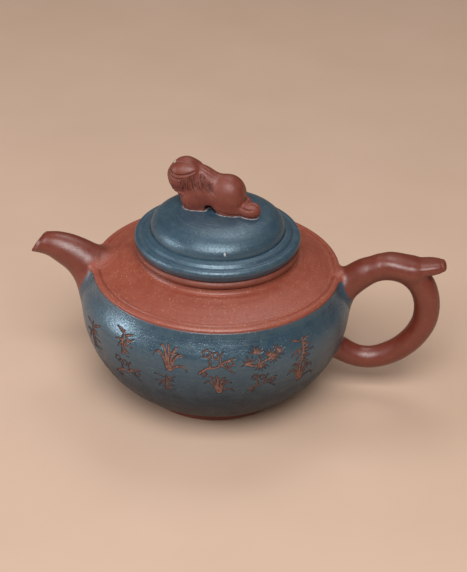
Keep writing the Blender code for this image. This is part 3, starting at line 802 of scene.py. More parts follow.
def make_handle():
    block = Block(*HANDLE_BLOCK)
    x, y, z = block.whole()
    loop = round_sweep(x, y, z, HANDLE_KNOTS)
    path = smooth_path(THUMB_KNOTS, 8)
    away, place = nearest_on_path(x, z, path)
    wide, high = along_path(place, path[:, 2]), along_path(place, path[:, 3])
    power = TONGUE_SQUARENESS
    section = ((np.abs(away) / high) ** power + (np.abs(y) / wide) ** power) ** (1 / power)
    tongue = (section - 1) * high
    softness = 1.3 + 3.2 * step_between(77.5, 71.5, x)
    shape = smooth_union(loop, tongue, softness)
    block.field = luted(shape, pot_field(x, y, z), HANDLE_FILLET)
    handle = block.surface("handle_form")
    paint_slip(handle)
    settle(handle, "pot", "red_clay", JOINED_CLAY, "handle_loop", "handle_thumb_rest")


# ---------------------------------------------------------------- lid

VENT = (-0.6, -1.2)
VENT_RADIUS = 1.3


def dome_outline(count=60):
    return bezier((0.0, DOME_TOP), (14.5, DOME_TOP + 0.4), (DOME_RADIUS - 0.5, DOME_BASE + 6.2),
                  (DOME_RADIUS, DOME_BASE), count)


DOME_CHIP = np.array((4.4, -23.9, 68.6))


def make_lid(lion_block):
    bead = arc((LID_RADIUS - 1.8, 63.0), 1.8, 95, -25)
    well = DOME_RADIUS - LID_WALL
    step = [(DOME_RADIUS + 0.06, 66.28, 0.08), (25.2, 66.22, 0.5), (26.5, 65.65, 0.9), (27.45, 64.62, 0.5)]
    underside = [(29.5, LID_BOTTOM, 0.5), (well, LID_BOTTOM, 0.2), (well, DOME_SEAT, 0.1),
                 (DOME_RADIUS + HAIRLINE, DOME_SEAT, 0.1)]
    turned_piece("lid_saucer", "lid", "blue_slip", BLUE_SLIP, "lid_rim", step + plain(bead) + underside, 0.3)

    outside = even(dome_outline(), 0.35)
    inside = even(offset(dome_outline(), LID_WALL), 1.0)
    inside[0] = (0.0, DOME_TOP - LID_WALL)
    seat = DOME_SEAT + HAIRLINE
    side = spaced([(DOME_RADIUS - 0.02, DOME_BASE - 0.3), (DOME_RADIUS - HAIRLINE, seat)], 0.5)
    dome = turned("lid_crown", np.vstack([outside, side, [(well, seat)], inside[::-1]]), closed=False)
    hole = rod("vent_tool", [(*VENT, 68.0), (*VENT, 72.0), (*VENT, 78.0)], VENT_RADIUS)
    drilled(dome, hole)
    points = points_of(dome)
    low = lion_block.low + 0.5
    high = lion_block.low + lion_block.step * (np.array(lion_block.field.shape) - 1)
    turned_points = to_lion(points)
    in_reach = np.all((turned_points > low) & (turned_points < high), axis=1) & (points[:, 2] > 70)
    near_lion = np.where(in_reach, lion_block.at(turned_points), 9.0)
    around_vent = np.hypot(points[:, 0] - VENT[0], points[:, 1] - VENT[1]) < VENT_RADIUS + 0.3
    paint(dome, "lute", step_between(0.70, 0.30, near_lion) * ~around_vent)
    paint(dome, "chip", spot(points, DOME_CHIP, (2.2, 0.6, 0.7), 0.60, 0.35))
    settle(dome, "lid", "blue_slip", BLUE_SLIP, "lid_dome")

    collar_top, collar_inner = LID_BOTTOM - HAIRLINE, FLANGE_RADIUS - LID_WALL
    turned_piece("lid_collar", "lid", "red_clay", INNER_CLAY, "lid_flange", [
        (FLANGE_RADIUS, collar_top, 0.1), (FLANGE_RADIUS - 0.1, FLANGE_BOTTOM, 0.8),
        (collar_inner, FLANGE_BOTTOM, 0.5), (collar_inner, collar_top, 0.1)], 0.6)


# ---------------------------------------------------------------- lion

LION_NODES = [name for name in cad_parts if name.startswith("lion_")]


def swung(points, angle):
    """Points turned about the upright axis."""
    c, s = math.cos(angle), math.sin(angle)
    x, y, z = points.T
    return np.column_stack([x * c - y * s, x * s + y * c, z])


def to_lion(points):
    """Points on the pot's axis, turned into the lion's own frame."""
    return swung(points, -LION_TURN)


def from_lion(points):
    return swung(points, LION_TURN)


class Sculpture(Block):
    """A block of clay that is built up and cut, each stroke only where it can reach."""

    def add(self, center, radii, softness, pitch=0.0, yaw=0.0, roll=0.0):
        self._ellipsoid(center, radii, softness, (pitch, yaw, roll), smooth_union)

    def carve(self, center, radii, softness, pitch=0.0, yaw=0.0, roll=0.0):
        self._ellipsoid(center, radii, softness, (pitch, yaw, roll), smooth_cut)

    def _ellipsoid(self, center, radii, softness, turn, join):
        center, radii = np.array(center, float), np.array(radii, float)
        reach = radii.max() + softness + 1.0
        parts, x, y, z = self.window(center - reach, center + reach)
        pitch, yaw, roll = (math.radians(a) for a in turn)
        axes = (Matrix.Rotation(yaw, 3, "Z") @ Matrix.Rotation(pitch, 3, "Y") @ Matrix.Rotation(roll, 3, "X"))
        x, y, z = x - center[0], y - center[1], z - center[2]
        local = [x * column[0] + y * column[1] + z * column[2] for column in axes.col]
        near = sum((p / r) ** 2 for p, r in zip(local, radii))
        slope = sum((p / r ** 2) ** 2 for p, r in zip(local, radii))
        near, slope = np.sqrt(near), np.sqrt(slope) + 1e-6
        self.field[parts] = join(self.field[parts], near * (near - 1) / slope, softness)

    def line(self, points, radius, softness, cut=True):
        """Cuts a groove along points, or lays a coil on them."""
        points = np.array(points, float)
        radius = np.broadcast_to(radius, len(points))
        reach = radius.max() + softness + 0.6
        parts, x, y, z = self.window(points.min(0) - reach, points.max(0) + reach)
        distance = np.inf
        for a, b, ra, rb in zip(points, points[1:], radius, radius[1:]):
            run = b - a
            t = np.clip(((x - a[0]) * run[0] + (y - a[1]) * run[1] + (z - a[2]) * run[2]) / (run @ run), 0, 1)
            away = np.sqrt((x - a[0] - t * run[0]) ** 2 + (y - a[1] - t * run[1]) ** 2
                           + (z - a[2] - t * run[2]) ** 2)
            distance = np.minimum(distance, away - ra - t * (rb - ra))
        join = smooth_cut if cut else smooth_union
        self.field[parts] = join(self.field[parts], distance, softness)

    def ground(self, x, z, side):
        """The point of the surface at (x, z) on one side, found from outside in."""
        i = int(round((x - self.low[0]) / self.step))
        k = int(round((z - self.low[2]) / self.step))
        column = self.field[i, :, k]
        found = np.flatnonzero(column < 0)
        if len(found) == 0:
            return None
        j = found[0] if side < 0 else found[-1]
        return np.array((x, self.axes[1][j], z))

    def on_top(self, points):
        """Lays (x, y) points on the surface, from above."""
        laid = []
        for x, y in points:
            i = int(round((x - self.low[0]) / self.step))
            j = int(round((y - self.low[1]) / self.step))
            found = np.flatnonzero(self.field[i, j] < 0)
            if len(found):
                laid.append(np.array((x, y, self.axes[2][found[-1]])))
        return laid

    def on_surface(self, points, side):
        """Lays (x, z) points on the surface."""
        laid = [self.ground(x, z, side) for x, z in points]
        return [p for p in laid if p is not None]


DOME_SLOPE = 0.95


def dome_field(x, y, z):
    """About the distance to the lid's dome near its crown: the height above it, eased by its slope."""
    outline = even(dome_outline(), 0.5)
    r = np.hypot(x, y)
    height = np.interp(r, outline[:, 0], outline[:, 1])
    return (z - height) * DOME_SLOPE


LION_BLOCK = ((-22.0, -9.0, 69.5), (19.0, 9.0, 93.5), 0.19)
# (x, z) along the crease under the brow flap
FLAP_CREASE = [(-17.0, 89.6), (-16.3, 88.6), (-14.6, 88.0), (-12.6, 88.1), (-10.6, 88.6), (-8.8, 89.2),
               (-7.4, 89.9)]
# (x, z) along the edge of a sole
SOLE_EDGE = [(1.8, 75.6), (3.8, 75.1), (6.4, 74.8), (9.4, 74.6), (12.0, 74.4), (14.8, 74.2)]
# (x, z) down the front of a hind paw, between two toes
TOE_LINE = [(12.2, 79.0), (14.4, 78.6), (15.9, 77.0), (16.3, 75.0), (15.9, 73.2)]
# Rows of curls in the beard: (x, z, half width)
CURL_ROWS = [(-17.6, 83.9, 2.6), (-17.5, 82.6, 3.0), (-16.7, 81.4, 3.3), (-15.6, 80.4, 3.5),
             (-14.4, 79.6, 3.6)]
HAIR = 0.17
HAIR_SEED = 3
HAIR_COUNT = 15
CURL_SEED = 5
CURL_COUNT = 5


def sculpt_lion():
    clay = Sculpture(*LION_BLOCK)
    # trunk, neck and chest
    clay.add((-7.4, 0, 79.8), (6.5, 5.2, 7.4), 0.1)
    clay.add((-1.2, 0, 80.8), (8.2, 5.0, 6.9), 2.4)
    clay.add((4.2, 0, 80.4), (5.3, 5.3, 7.0), 2.4)
    clay.add((-9.3, 0, 77.9), (4.2, 4.9, 5.2), 1.6)
    clay.add((-6.7, 0, 84.2), (6.0, 5.0, 6.1), 2.4)
    # skull, snout and jaw
    clay.add((-11.9, 0, 86.25), (5.9, 5.9, 6.45), 1.6)
    clay.add((-14.7, 0, 85.2), (3.8, 4.6, 4.8), 1.4)
    clay.add((-13.8, 0, 81.7), (3.1, 3.9, 2.5), 1.2)
    clay.add((-16.9, 0, 85.8), (1.5, 2.3, 2.2), 1.0)
    for side in (-1, 1):
        sculpt_limbs(clay, side)
        sculpt_head_side(clay, side)
        sculpt_mane(clay, side)
    sculpt_face(clay)
    # the recess carved under the belly, between the feet
    clay.carve((-2.5, -3.6, 75.1), (1.8, 3.6, 1.7), 0.5, pitch=10)
    clay.carve((-0.6, -4.0, 74.4), (1.5, 2.4, 1.1), 0.5, pitch=20)
    clay.carve((-1.6, 4.2, 74.9), (1.7, 3.0, 1.4), 0.5)
    dome = dome_field(*clay.whole())
    clay.field = np.maximum(clay.field, -(dome + SKIRT)).astype(np.float32)
    return clay


def sculpt_limbs(clay, side):
    # thigh, and the shin folded under it
    clay.add((4.0, side * 2.4, 79.3), (5.3, 3.6, 6.3), 2.6)
    clay.add((4.4, side * 3.1, 75.6), (5.0, 2.4, 3.2), 1.6)
    # hind paw stretched out behind; the far one is tucked in
    reach = 0.0 if side < 0 else -3.8
    clay.add((11.8 + reach, side * 2.3, 75.8), (4.0, 2.8, 3.2), 1.2, yaw=side * -3)
    clay.add((13.5 + reach, side * 1.9, 76.4), (2.3, 2.4, 2.6), 0.7)
    for y in (0.9, 2.7):
        clay.line([(x + reach, side * y, z) for x, z in TOE_LINE], 0.2, 0.5)
    # front legs side by side, with small paws
    clay.add((-7.9, side * 2.0, 75.6), (4.1, 2.0, 4.2), 1.6)
    clay.add((-5.0, side * 2.0, 74.6), (2.0, 1.8, 2.2), 0.9)
    # the edge of the sole, and the crease over the paw
    clay.line(clay.on_surface(SOLE_EDGE, side), [0.05, 0.2, 0.24, 0.24, 0.22, 0.1], 0.4)
    clay.line(clay.on_surface([(8.4, 77.9), (10.2, 77.3), (11.8, 77.0), (13.4, 77.2)], side),
              [0.05, 0.18, 0.18, 0.05], 0.6)


def sculpt_head_side(clay, side):
    """The flap of hair that lies back from the brow, and the cheek under it."""
    drop = 0.0 if side < 0 else 0.8
    clay.add((-12.0, side * 3.2, 88.9 - drop), (4.8, 2.5, 1.9), 1.3, pitch=-13, roll=side * -38)
    clay.add((-13.8, side * 3.1, 88.9 - drop), (2.6, 2.1, 2.0), 1.1, pitch=-10, roll=side * -38)
    brow = clay.on_top([(x, side * y) for x, y in ((-15.6, 1.5), (-14.2, 2.3), (-12.6, 2.8), (-11.0, 3.0))])
    clay.line(brow, [0.05, 0.18, 0.16, 0.03][:len(brow)], 0.5)
    crease = clay.on_surface([(s, z - drop) for s, z in FLAP_CREASE], side)
    clay.line([point + (0, side * 0.10, -0.15) for point in crease],
              [0.12, 0.36, 0.46, 0.50, 0.44, 0.30, 0.10][:len(crease)], 0.28)
    clay.add((-14.4, side * 3.3, 84.3), (2.4, 1.5, 2.1), 0.8)
    clay.line(clay.on_surface([(-16.6, 86.9), (-15.0, 86.3), (-13.2, 86.4), (-11.8, 87.0)], side), 0.14, 0.5)


def sculpt_mane(clay, side):
    """Strokes of hair that fan out below the flap, in two overlapping rows, with a parting on the nape."""
    draw = np.random.default_rng(HAIR_SEED)
    count = HAIR_COUNT
    for i in range(count):
        t = i / (count - 1)
        s = -12.1 + 9.6 * t
        start = 87.3 + 1.9 * t - 3.6 * max(t - 0.72, 0) * 3
        drift = -0.4 + 2.6 * t + draw.uniform(-0.25, 0.25)
        length = draw.uniform(3.6, 5.2)
        knots = [(s, start), (s + 0.15 * drift, start - 0.35 * length),
                 (s + 0.55 * drift, start - 0.7 * length), (s + drift, start - length)]
        clay.line(clay.on_surface(knots, side), [0.7 * HAIR, 1.5 * HAIR, 1.25 * HAIR, 0.3 * HAIR], 0.24)
    for i in range(count - 2):
        t = i / (count - 3)
        s = -11.8 + 10.2 * t
        start = 84.6 + 0.4 * t + draw.uniform(-0.8, 0.6)
        drift = 0.3 + 1.6 * t + draw.uniform(-0.3, 0.3)
        length = draw.uniform(2.4, 4.0)
        knots = [(s, start), (s + 0.4 * drift, start - 0.5 * length), (s + drift, start - length)]
        clay.line(clay.on_surface(knots, side), [0.4 * HAIR, 1.4 * HAIR, 0.3 * HAIR], 0.35)
    for y, end in ((0.9, -1.6), (2.2, 0.2)):
        parting = [(-6.8, side * y * 0.8, 91.2), (-5.2, side * y, 89.8), (-3.4, side * y, 88.2),
                   (end, side * y * 1.1, 87.4)]
        laid = clay.on_top([(p[0], p[1]) for p in parting])
        clay.line(laid, [0.02, 0.10, 0.09, 0.02][:len(laid)], 0.28)


def sculpt_face(clay):
    """A plain animal face: nose, nostrils, mouth, eyes and a curly beard."""
    clay.add((-17.7, 0, 86.6), (0.8, 1.3, 0.8), 0.5)
    for side in (-1, 1):
        clay.carve((-18.4, side * 0.6, 86.4), (0.4, 0.28, 0.28), 0.15)
        clay.add((-16.7, side * 2.5, 88.2), (0.8, 0.85, 0.75), 0.4)
        clay.carve((-17.0, side * 2.6, 87.3), (0.7, 0.8, 0.25), 0.25)
        clay.line([(-18.9, side * 0.1, 85.0), (-18.3, side * 1.6, 84.6), (-17.1, side * 3.0, 84.9)],
                  [0.25, 0.25, 0.1], 0.3)
    draw = np.random.default_rng(CURL_SEED)
    for s, z, half in CURL_ROWS:
        for k in range(CURL_COUNT):
            y = half * (2 * k / (CURL_COUNT - 1) - 1)
            back = 0.17 * y * y
            place = np.array((s + back + draw.uniform(-0.2, 0.2), y, z + draw.uniform(-0.25, 0.25)))
            clay.add(place, (0.85, 0.82, 0.82), 0.25)
            clay.carve(place + (-0.6, 0.16 * y, -0.1), (0.45, 0.42, 0.42), 0.15)


BROW_CHIP = np.array((-16.4, -1.0, 91.4))
# Centre of the painted shade under the lion's belly
BELLY_SHADE_CENTER = np.array((-2.2, 0.0, 74.9))


def make_lion(clay):
    lion = clay.surface("lion_knob")
    mesh = lion.data
    points = points_of(lion)
    moved = ((from_lion(points) + (AXIS_X, 0, 0)) * MM).astype(np.float32)
    mesh.vertices.foreach_set("co", moved.ravel())
    mesh.update()
    normals = np.empty(len(points) * 3, np.float32)
    mesh.vertices.foreach_get("normal", normals)
    normals = to_lion(normals.reshape(-1, 3))
    # Painted shade: the lion's creases, the recess under its belly and the line where it meets the dome are
    # darkened in its colour
    reach = 0.5
    rise = clay.at(points + normals * reach) / reach
    crevice_shade = step_between(0.66, 0.12, rise)
    under_belly_shade = spot(points, BELLY_SHADE_CENTER, (1.0, 0.3, 1.0), 2.7, 2.0)
    seam_shadow = step_between(0.55, 0.10, dome_field(*points.T)) * step_between(-1.0, 1.0, points[:, 0])
    paint(lion, "painted_shade", np.maximum(np.maximum(crevice_shade, under_belly_shade), 0.7 * seam_shadow))
    paint(lion, "chip", spot(points, BROW_CHIP, (1.0, 0.8, 1.0), 1.15, 0.65))
    settle(lion, "lid", "lion_clay", LION_CLAY, *LION_NODES)


# ---------------------------------------------------------------- materials

def math_node(tree, operation, *values):
    made = tree.nodes.new("ShaderNodeMath")
    made.operation = operation
    for socket, value in zip(made.inputs, values):
        if isinstance(value, bpy.types.NodeSocket):
            tree.links.new(value, socket)
        else:
            socket.default_value = value
    return made.outputs[0]


def mix_colors(tree, amount, a, b, blend="MIX"):
    made = tree.nodes.new("ShaderNodeMix")
    made.data_type = "RGBA"
    made.blend_type = blend
    for socket, value in ((made.inputs[0], amount), (made.inputs[6], a), (made.inputs[7], b)):
        if isinstance(value, bpy.types.NodeSocket):
            tree.links.new(value, socket)
        else:
            socket.default_value = (*value, 1.0) if isinstance(value, tuple) else value
    return made.outputs[2]


def ranged(tree, value, low, high, to_low, to_high):
    made = tree.nodes.new("ShaderNodeMapRange")
    tree.links.new(value, made.inputs[0])
    for socket, number in zip(list(made.inputs)[1:5], (low, high, to_low, to_high)):
        socket.default_value = number
    return made.outputs[0]


def noise(tree, vector, size, detail=2.0, roughness=0.5):
    """Noise with features about size millimetres across."""
    made = tree.nodes.new("ShaderNodeTexNoise")
    tree.links.new(vector, made.inputs["Vector"])
    made.inputs["Scale"].default_value = 1 / (size * MM)
    made.inputs["Detail"].default_value = detail
    made.inputs["Roughness"].default_value = roughness
    return made.outputs["Fac"]


def grains(tree, vector, size, share, radius=0.30):
    """Separate round grains in cells about size millimetres across.

    share of the cells, a number or a socket, hold one.
    """
    made = tree.nodes.new("ShaderNodeTexVoronoi")
    tree.links.new(vector, made.inputs["Vector"])
    made.inputs["Scale"].default_value = 1 / (size * MM)
    split = tree.nodes.new("ShaderNodeSeparateColor")
    tree.links.new(made.outputs["Color"], split.inputs[0])
    chosen = math_node(tree, "LESS_THAN", split.outputs[0], share)
    dot = ranged(tree, made.outputs["Distance"], radius, radius * 0.5, 0.0, 1.0)
    return math_node(tree, "MULTIPLY", chosen, dot)


def turning_coordinates(tree, position):
    """(radius, angle shrunk to almost nothing, height): noise on these runs in rings round the pot."""
    split = tree.nodes.new("ShaderNodeSeparateXYZ")
    tree.links.new(position, split.inputs[0])
    x = math_node(tree, "SUBTRACT", split.outputs[0], AXIS_X * MM)
    y = split.outputs[1]
    radius = math_node(tree, "SQRT", math_node(tree, "ADD", math_node(tree, "MULTIPLY", x, x),
                                               math_node(tree, "MULTIPLY", y, y)))
    angle = math_node(tree, "MULTIPLY", math_node(tree, "ARCTAN2", y, x), 1.5 * MM)
    joined = tree.nodes.new("ShaderNodeCombineXYZ")
    for socket, value in zip(joined.inputs, (radius, angle, split.outputs[2])):
        tree.links.new(value, socket)
    return joined.outputs[0]


class Clay:
    """One fired clay: its colours in linear light, and how coarse and how polished it is."""

    def __init__(self, name, base, deep, pale, roughness, polish=0.7, grain=0.05, ring=0.3):
        self.material = bpy.data.materials.new(name)
        self.material.use_nodes = True
        tree = self.tree = self.material.node_tree
        tree.nodes.clear()
        self.shader = tree.nodes.new("ShaderNodeBsdfPrincipled")
        self.shader.inputs["Specular IOR Level"].default_value = polish
        out = tree.nodes.new("ShaderNodeOutputMaterial")
        tree.links.new(self.shader.outputs[0], out.inputs[0])
        self.position = tree.nodes.new("ShaderNodeTexCoord").outputs["Object"]
        cloud = noise(tree, self.position, 14.0, 3.0)
        patch = noise(tree, self.position, 3.5, 3.0)
        fine = noise(tree, self.position, 0.6, 3.0, 0.6)
        rings = noise(tree, turning_coordinates(tree, self.position), 1.0, 2.0)
        color = mix_colors(tree, ranged(tree, cloud, 0.35, 0.65, 0.0, 0.5), base, deep)
        color = mix_colors(tree, ranged(tree, patch, 0.40, 0.70, 0.0, 0.3), color, pale)
        color = mix_colors(tree, ranged(tree, rings, 0.35, 0.70, 0.0, ring), color, pale)
        self.color = mix_colors(tree, ranged(tree, fine, 0.30, 0.70, 0.0, 0.55), color, deep)
        self.roughness = self.plus(ranged(tree, patch, 0.3, 0.7, -0.05, 0.06),
                                   ranged(tree, fine, 0.3, 0.7, roughness - 0.07, roughness + 0.07))
        height = self.times(fine, 0.7)
        height = self.plus(height, self.times(patch, 0.8))
        self.height = self.plus(height, self.times(rings, ring))
        self.grain = grain

    def times(self, a, b):
        return math_node(self.tree, "MULTIPLY", a, b)

    def plus(self, a, b):
        return math_node(self.tree, "ADD", a, b)

    def attribute(self, name):
        made = self.tree.nodes.new("ShaderNodeAttribute")
        made.attribute_name = name
        return made.outputs["Fac"]

    def stain(self, amount, color, strength=1.0):
        if strength != 1.0:
            amount = self.times(amount, strength)
        self.color = mix_colors(self.tree, amount, self.color, color)

    def roughen(self, amount, by):
        self.roughness = self.plus(self.roughness, self.times(amount, by))

    def raise_by(self, amount, height):
        self.height = self.plus(self.height, self.times(amount, height))

    def sand(self, color, size, share, strength=0.8, lift=0.4, radius=0.30):
        """Grains of sand that show at the surface."""
        dots = grains(self.tree, self.position, size, share, radius)
        self.stain(dots, color, strength)
        self.raise_by(dots, lift)

    def pits(self):
        """Small dark pits, scattered thinly."""
        self.sand(DARK_SPECK_AND_BORE_SHADE, 0.9, 0.04, 0.5, lift=-0.4)

    def clusters(self, size, most):
        """A share that comes and goes over the surface, for sand that lies in clusters."""
        return ranged(self.tree, noise(self.tree, self.position, size, 2.0), 0.50, 0.68, 0.0, most)

    def low_down(self, low, high):
        """1 below a height in millimetres, 0 above another, with a ragged line between."""
        split = self.tree.nodes.new("ShaderNodeSeparateXYZ")
        self.tree.links.new(self.position, split.inputs[0])
        ragged = ranged(self.tree, noise(self.tree, self.position, 4.0, 4.0), 0.3, 0.7, -1.5 * MM, 1.5 * MM)
        height = self.plus(split.outputs[2], ragged)
        return ranged(self.tree, height, low * MM, high * MM, 1.0, 0.0)

    def fired(self):
        """Joins everything to the shader and returns the material."""
        tree = self.tree
        tree.links.new(self.color, self.shader.inputs["Base Color"])
        tree.links.new(self.roughness, self.shader.inputs["Roughness"])
        bump = tree.nodes.new("ShaderNodeBump")
        bump.inputs["Strength"].default_value = 1.0
        bump.inputs["Distance"].default_value = self.grain * MM
        tree.links.new(self.height, bump.inputs["Height"])
        tree.links.new(bump.outputs[0], self.shader.inputs["Normal"])
        return self.material


# Colours in linear light
SLIP_BASE = (0.029, 0.069, 0.110)
SLIP_DEEP = (0.019, 0.037, 0.056)
SLIP_PALE = (0.075, 0.120, 0.140)
SLIP_LAPPED = (0.028, 0.056, 0.082)
SLIP_LOW_DOWN = (0.030, 0.016, 0.013)
SLIP_SHEEN = (0.66, 0.87, 1.0)
SLIP_IOR = 1.62
SPECK_BLUE = (0.20, 0.28, 0.29)
# Dark specks in the clay, and painted shade inside the spout's bore
DARK_SPECK_AND_BORE_SHADE = (0.040, 0.012, 0.008)
# Painted shade in the lion's creases, under its belly and along its foot
PAINTED_CREASE_SHADE = (0.030, 0.008, 0.005)
# Painted shade on the walls of the carved strokes
CUT_EDGE_SHADE = (0.030, 0.020, 0.018)
CUT_PALE = (0.28, 0.145, 0.11)
CUT_DARK = (0.13, 0.062, 0.046)
WORN_RED = (0.22, 0.065, 0.045)
ROOT_RED = (0.27, 0.058, 0.033)
LION_BASE_RED = (0.21, 0.043, 0.024)
LUTE_PALE = (0.46, 0.41, 0.40)
CHIP_WHITE = (0.62, 0.60, 0.55)
CHIP_GREEN = (0.50, 0.56, 0.47)
SAND_ORANGE = (0.62, 0.27, 0.10)
SAND_YELLOW = (0.66, 0.33, 0.17)
SAND_BLUE = (0.17, 0.25, 0.27)
SAND_GREY = (0.30, 0.36, 0.36)


def red_clay():
    clay = Clay("red_clay_look", (0.285, 0.063, 0.036), (0.21, 0.043, 0.023), (0.40, 0.115, 0.068), 0.42,
                polish=0.75, grain=0.09, ring=0.30)
    clay.sand(SAND_ORANGE, 0.62, clay.clusters(9.0, 0.90), 0.70)
    clay.sand(SAND_YELLOW, 0.66, 0.18, 0.70)
    clay.pits()
    return clay.fired()


def joined_clay():
    """The spout and handle: the same clay, rubbed smoother and darker, with slip lapping onto the roots."""
    clay = Clay("joined_clay_look", (0.165, 0.027, 0.013), (0.122, 0.019, 0.009), (0.255, 0.058, 0.034), 0.40,
                polish=0.85, grain=0.06, ring=0.15)
    clay.sand(SAND_ORANGE, 0.50, clay.clusters(8.0, 0.12), 0.5)
    clay.pits()
    slip, root, painted_shade = (clay.attribute(name) for name in ("slip", "root", "painted_shade"))
    clay.stain(root, ROOT_RED)
    clay.roughen(root, 0.06)
    clay.sand(SAND_ORANGE, 0.62, clay.times(root, 0.45), 0.70)
    speckle = noise(clay.tree, clay.position, 0.8, 2.0)
    clay.stain(clay.times(slip, ranged(clay.tree, speckle, 0.30, 0.42, 0.55, 1.0)), SLIP_LAPPED)
    clay.stain(clay.times(slip, grains(clay.tree, clay.position, 0.45, 0.16)), SPECK_BLUE, 0.6)
    # painted shade inside the spout's bore
    clay.stain(painted_shade, DARK_SPECK_AND_BORE_SHADE, 0.9)
    clay.roughen(painted_shade, 0.4)
    return clay.fired()


def dark_clay():
    clay = Clay("dark_clay_look", (0.190, 0.046, 0.028), (0.120, 0.028, 0.017), (0.30, 0.10, 0.065), 0.48,
                polish=0.5, grain=0.10, ring=0.30)
    clay.sand(SAND_ORANGE, 0.9, 0.05, 0.6)
    return clay.fired()


def inner_clay():
    clay = Clay("inner_clay_look", (0.26, 0.080, 0.052), (0.17, 0.048, 0.030), (0.36, 0.15, 0.11), 0.66,
                polish=0.4, grain=0.16, ring=0.45)
    clay.sand(SAND_ORANGE, 0.9, 0.10, 0.6)
    return clay.fired()


def lion_clay():
    clay = Clay("lion_clay_look", (0.200, 0.045, 0.028), (0.138, 0.030, 0.018), (0.29, 0.095, 0.067), 0.46,
                polish=0.55, grain=0.08, ring=0.0)
    coarse = clay.low_down(75.5, 81.5)
    rough = noise(clay.tree, clay.position, 0.55, 3.0, 0.7)
    painted_shade = clay.attribute("painted_shade")
    clay.raise_by(clay.times(coarse, rough), 3.0)
    clay.roughen(coarse, 0.10)
    clay.stain(coarse, LION_BASE_RED, 0.5)
    clay.sand(SAND_ORANGE, 0.40, clay.times(coarse, 0.22), 0.6)
    # painted shade in the creases, under the belly and along the foot
    clay.stain(painted_shade, PAINTED_CREASE_SHADE, 0.65)
    clay.roughen(painted_shade, 0.3)
    clay.stain(clay.attribute("chip"), CHIP_GREEN)
    return clay.fired()


def blue_slip():
    clay = Clay("blue_slip_look", SLIP_BASE, SLIP_DEEP, SLIP_PALE, 0.37, polish=1.0, grain=0.11, ring=0.45)
    tree = clay.tree
    clay.shader.inputs["Specular Tint"].default_value = (*SLIP_SHEEN, 1.0)
    clay.shader.inputs["IOR"].default_value = SLIP_IOR
    clay.stain(clay.low_down(6.0, 36.0), SLIP_LOW_DOWN, 0.95)
    carved = clay.attribute("carved")
    worn = clay.attribute("worn")
    dull = math_node(tree, "MAXIMUM", clay.low_down(22.0, 44.0), ranged(tree, carved, 0.01, 0.12, 0.0, 1.0))
    dull = math_node(tree, "MAXIMUM", dull, worn)
    on_belly = clay.low_down(50.0, 58.0)
    sheen = clay.times(ranged(tree, dull, 0.0, 1.0, 1.0, 0.09), ranged(tree, on_belly, 0.0, 1.0, 0.85, 1.0))
    tree.links.new(sheen, clay.shader.inputs["Specular IOR Level"])
    clay.roughen(on_belly, -0.09)
    clay.roughen(dull, 0.16)
    clay.sand(SAND_BLUE, 0.42, clay.clusters(8.0, 0.40), 0.60)
    clay.sand(SAND_GREY, 0.70, 0.05, 0.6, radius=0.25)
    clay.sand(SLIP_DEEP, 0.8, 0.16, 0.6, lift=-0.5)
    raw = noise(tree, clay.position, 0.8, 2.0)
    cut = mix_colors(tree, ranged(tree, raw, 0.35, 0.65, 0.0, 1.0), CUT_PALE, CUT_DARK)
    # painted shade on the walls of the cut strokes
    clay.stain(ranged(tree, carved, 0.04, 0.30, 0.0, 0.8), CUT_EDGE_SHADE)
    clay.stain(ranged(tree, carved, 0.35, 0.80, 0.0, 0.95), cut)
    clay.roughen(carved, 0.25)
    lute = noise(tree, clay.position, 0.9, 3.0)
    lute = clay.times(clay.attribute("lute"), ranged(tree, lute, 0.34, 0.52, 0.15, 0.95))
    clay.stain(lute, LUTE_PALE)
    clay.stain(worn, WORN_RED, 0.8)
    clay.stain(clay.attribute("chip"), CHIP_WHITE)
    return clay.fired()


RED_CLAY = red_clay()
JOINED_CLAY = joined_clay()
DARK_CLAY = dark_clay()
INNER_CLAY = inner_clay()
LION_CLAY = lion_clay()
BLUE_SLIP = blue_slip()


# ---------------------------------------------------------------- floor, light and camera

FLOOR_HALF = 2.5
FLOOR_PALE = (0.625, 0.445, 0.335)
FLOOR_DEEP = (0.595, 0.42, 0.31)


def make_floor():
    mesh = bpy.data.meshes.new("floor")
    size = FLOOR_HALF
    square = [(-size, -size, 0), (size, -size, 0), (size, size, 0), (-size, size, 0)]
    mesh.from_pydata(square, [], [(0, 1, 2, 3)])
    floor = bpy.data.objects.new("floor", mesh)
    bpy.context.scene.collection.objects.link(floor)
    material = bpy.data.materials.new("floor_paper")
    material.use_nodes = True
    tree = material.node_tree
    shader = tree.nodes["Principled BSDF"]
    position = tree.nodes.new("ShaderNodeTexCoord").outputs["Object"]
    cloud = noise(tree, position, 60.0, 4.0)
    color = mix_colors(tree, ranged(tree, cloud, 0.3, 0.7, 0.0, 1.0), FLOOR_PALE, FLOOR_DEEP)
    tree.links.new(color, shader.inputs["Base Color"])
    shader.inputs["Roughness"].default_value = 0.8
    mesh.materials.append(material)


def aim(obj, target):
    obj.rotation_euler = (Vector(target) - obj.location).to_track_quat("-Z", "Y").to_euler()


def area_light(name, place, target, size, power, color):
    light = bpy.data.lights.new(name, "AREA")
    light.shape = "RECTANGLE"
    light.size, light.size_y = size
    light.energy = power
    light.color = color
    lamp = bpy.data.objects.new(name, light)
    lamp.location = place
    bpy.context.scene.collection.objects.link(lamp)
    aim(lamp, target)


POT_MIDDLE = (AXIS_X * MM, 0.0, 0.045)
ROOM_COLOR = (1.0, 0.80, 0.64)
ROOM_STRENGTH = 0.095
# Each softbox: (name, azimuth, elevation, distance, size, power, colour), in degrees, metres and watts.
# The azimuth is counted from the near side towards the handle.
SOFTBOXES = [
    ("window", -78.0, 18.0, 1.1, (0.36, 0.44), 4.4, (0.92, 0.95, 1.0)),
    ("overhead", 4.0, 53.0, 1.1, (0.75, 0.75), 13.4, (1.0, 0.99, 0.985)),
    ("back", 172.0, 62.0, 1.1, (0.50, 0.50), 2.2, (1.0, 0.96, 0.93)),
]


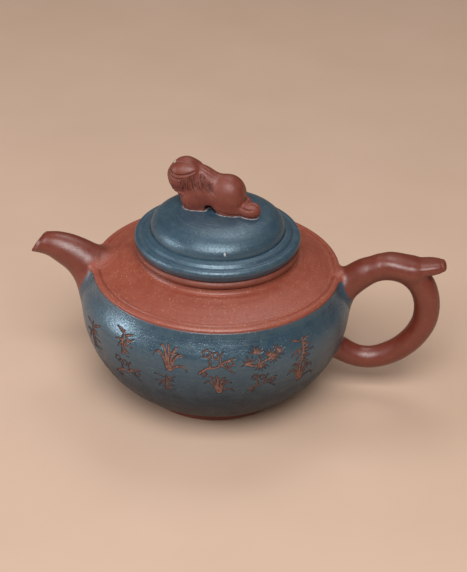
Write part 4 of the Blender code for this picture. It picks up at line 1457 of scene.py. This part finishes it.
def make_lights():
    for name, azimuth, elevation, distance, size, power, color in SOFTBOXES:
        a, e = math.radians(azimuth), math.radians(elevation)
        away = Vector((math.sin(a) * math.cos(e), -math.cos(a) * math.cos(e), math.sin(e)))
        area_light(name, Vector(POT_MIDDLE) + away * distance, POT_MIDDLE, size, power, color)
    world = bpy.data.worlds.new("soft_room")
    world.use_nodes = True
    background = world.node_tree.nodes["Background"]
    background.inputs[0].default_value = (*ROOM_COLOR, 1.0)
    background.inputs[1].default_value = ROOM_STRENGTH
    bpy.context.scene.world = world
    bpy.context.scene.view_settings.view_transform = "Standard"


CAMERA_TARGET = Vector((-0.916, 0.4, 41.478)) * MM
CAMERA_DISTANCE = 483.15 * MM
CAMERA_AZIMUTH = math.radians(3.619)
CAMERA_ELEVATION = math.radians(31.344)
CAMERA_ROLL = math.radians(1.744)
CAMERA_LENS = 81.63
CAMERA_SENSOR = 36.0


def make_camera():
    camera = bpy.data.cameras.new("camera")
    camera.lens = CAMERA_LENS
    camera.sensor_width = CAMERA_SENSOR
    camera.clip_start = 0.01
    holder = bpy.data.objects.new("camera", camera)
    turn_x, turn_y = math.cos(CAMERA_AZIMUTH), math.sin(CAMERA_AZIMUTH)
    flat = math.cos(CAMERA_ELEVATION)
    level = Vector((turn_x, turn_y, 0.0))
    back = Vector((turn_y * flat, -turn_x * flat, math.sin(CAMERA_ELEVATION)))
    upright = back.cross(level)
    right = math.cos(CAMERA_ROLL) * level + math.sin(CAMERA_ROLL) * upright
    up = back.cross(right)
    turn = Matrix((right, up, back)).transposed()
    holder.matrix_world = Matrix.Translation(CAMERA_TARGET + back * CAMERA_DISTANCE) @ turn.to_4x4()
    bpy.context.scene.collection.objects.link(holder)
    bpy.context.scene.camera = holder


# ---------------------------------------------------------------- build

lion_clay_block = sculpt_lion()
make_foot()
make_belly()
make_shoulder()
make_spout()
make_strainer()
make_handle()
make_lid(lion_clay_block)
make_lion(lion_clay_block)
make_floor()
make_lights()
make_camera()


def corners(box):
    low, high = box
    return {"low": list(low), "high": list(high)}
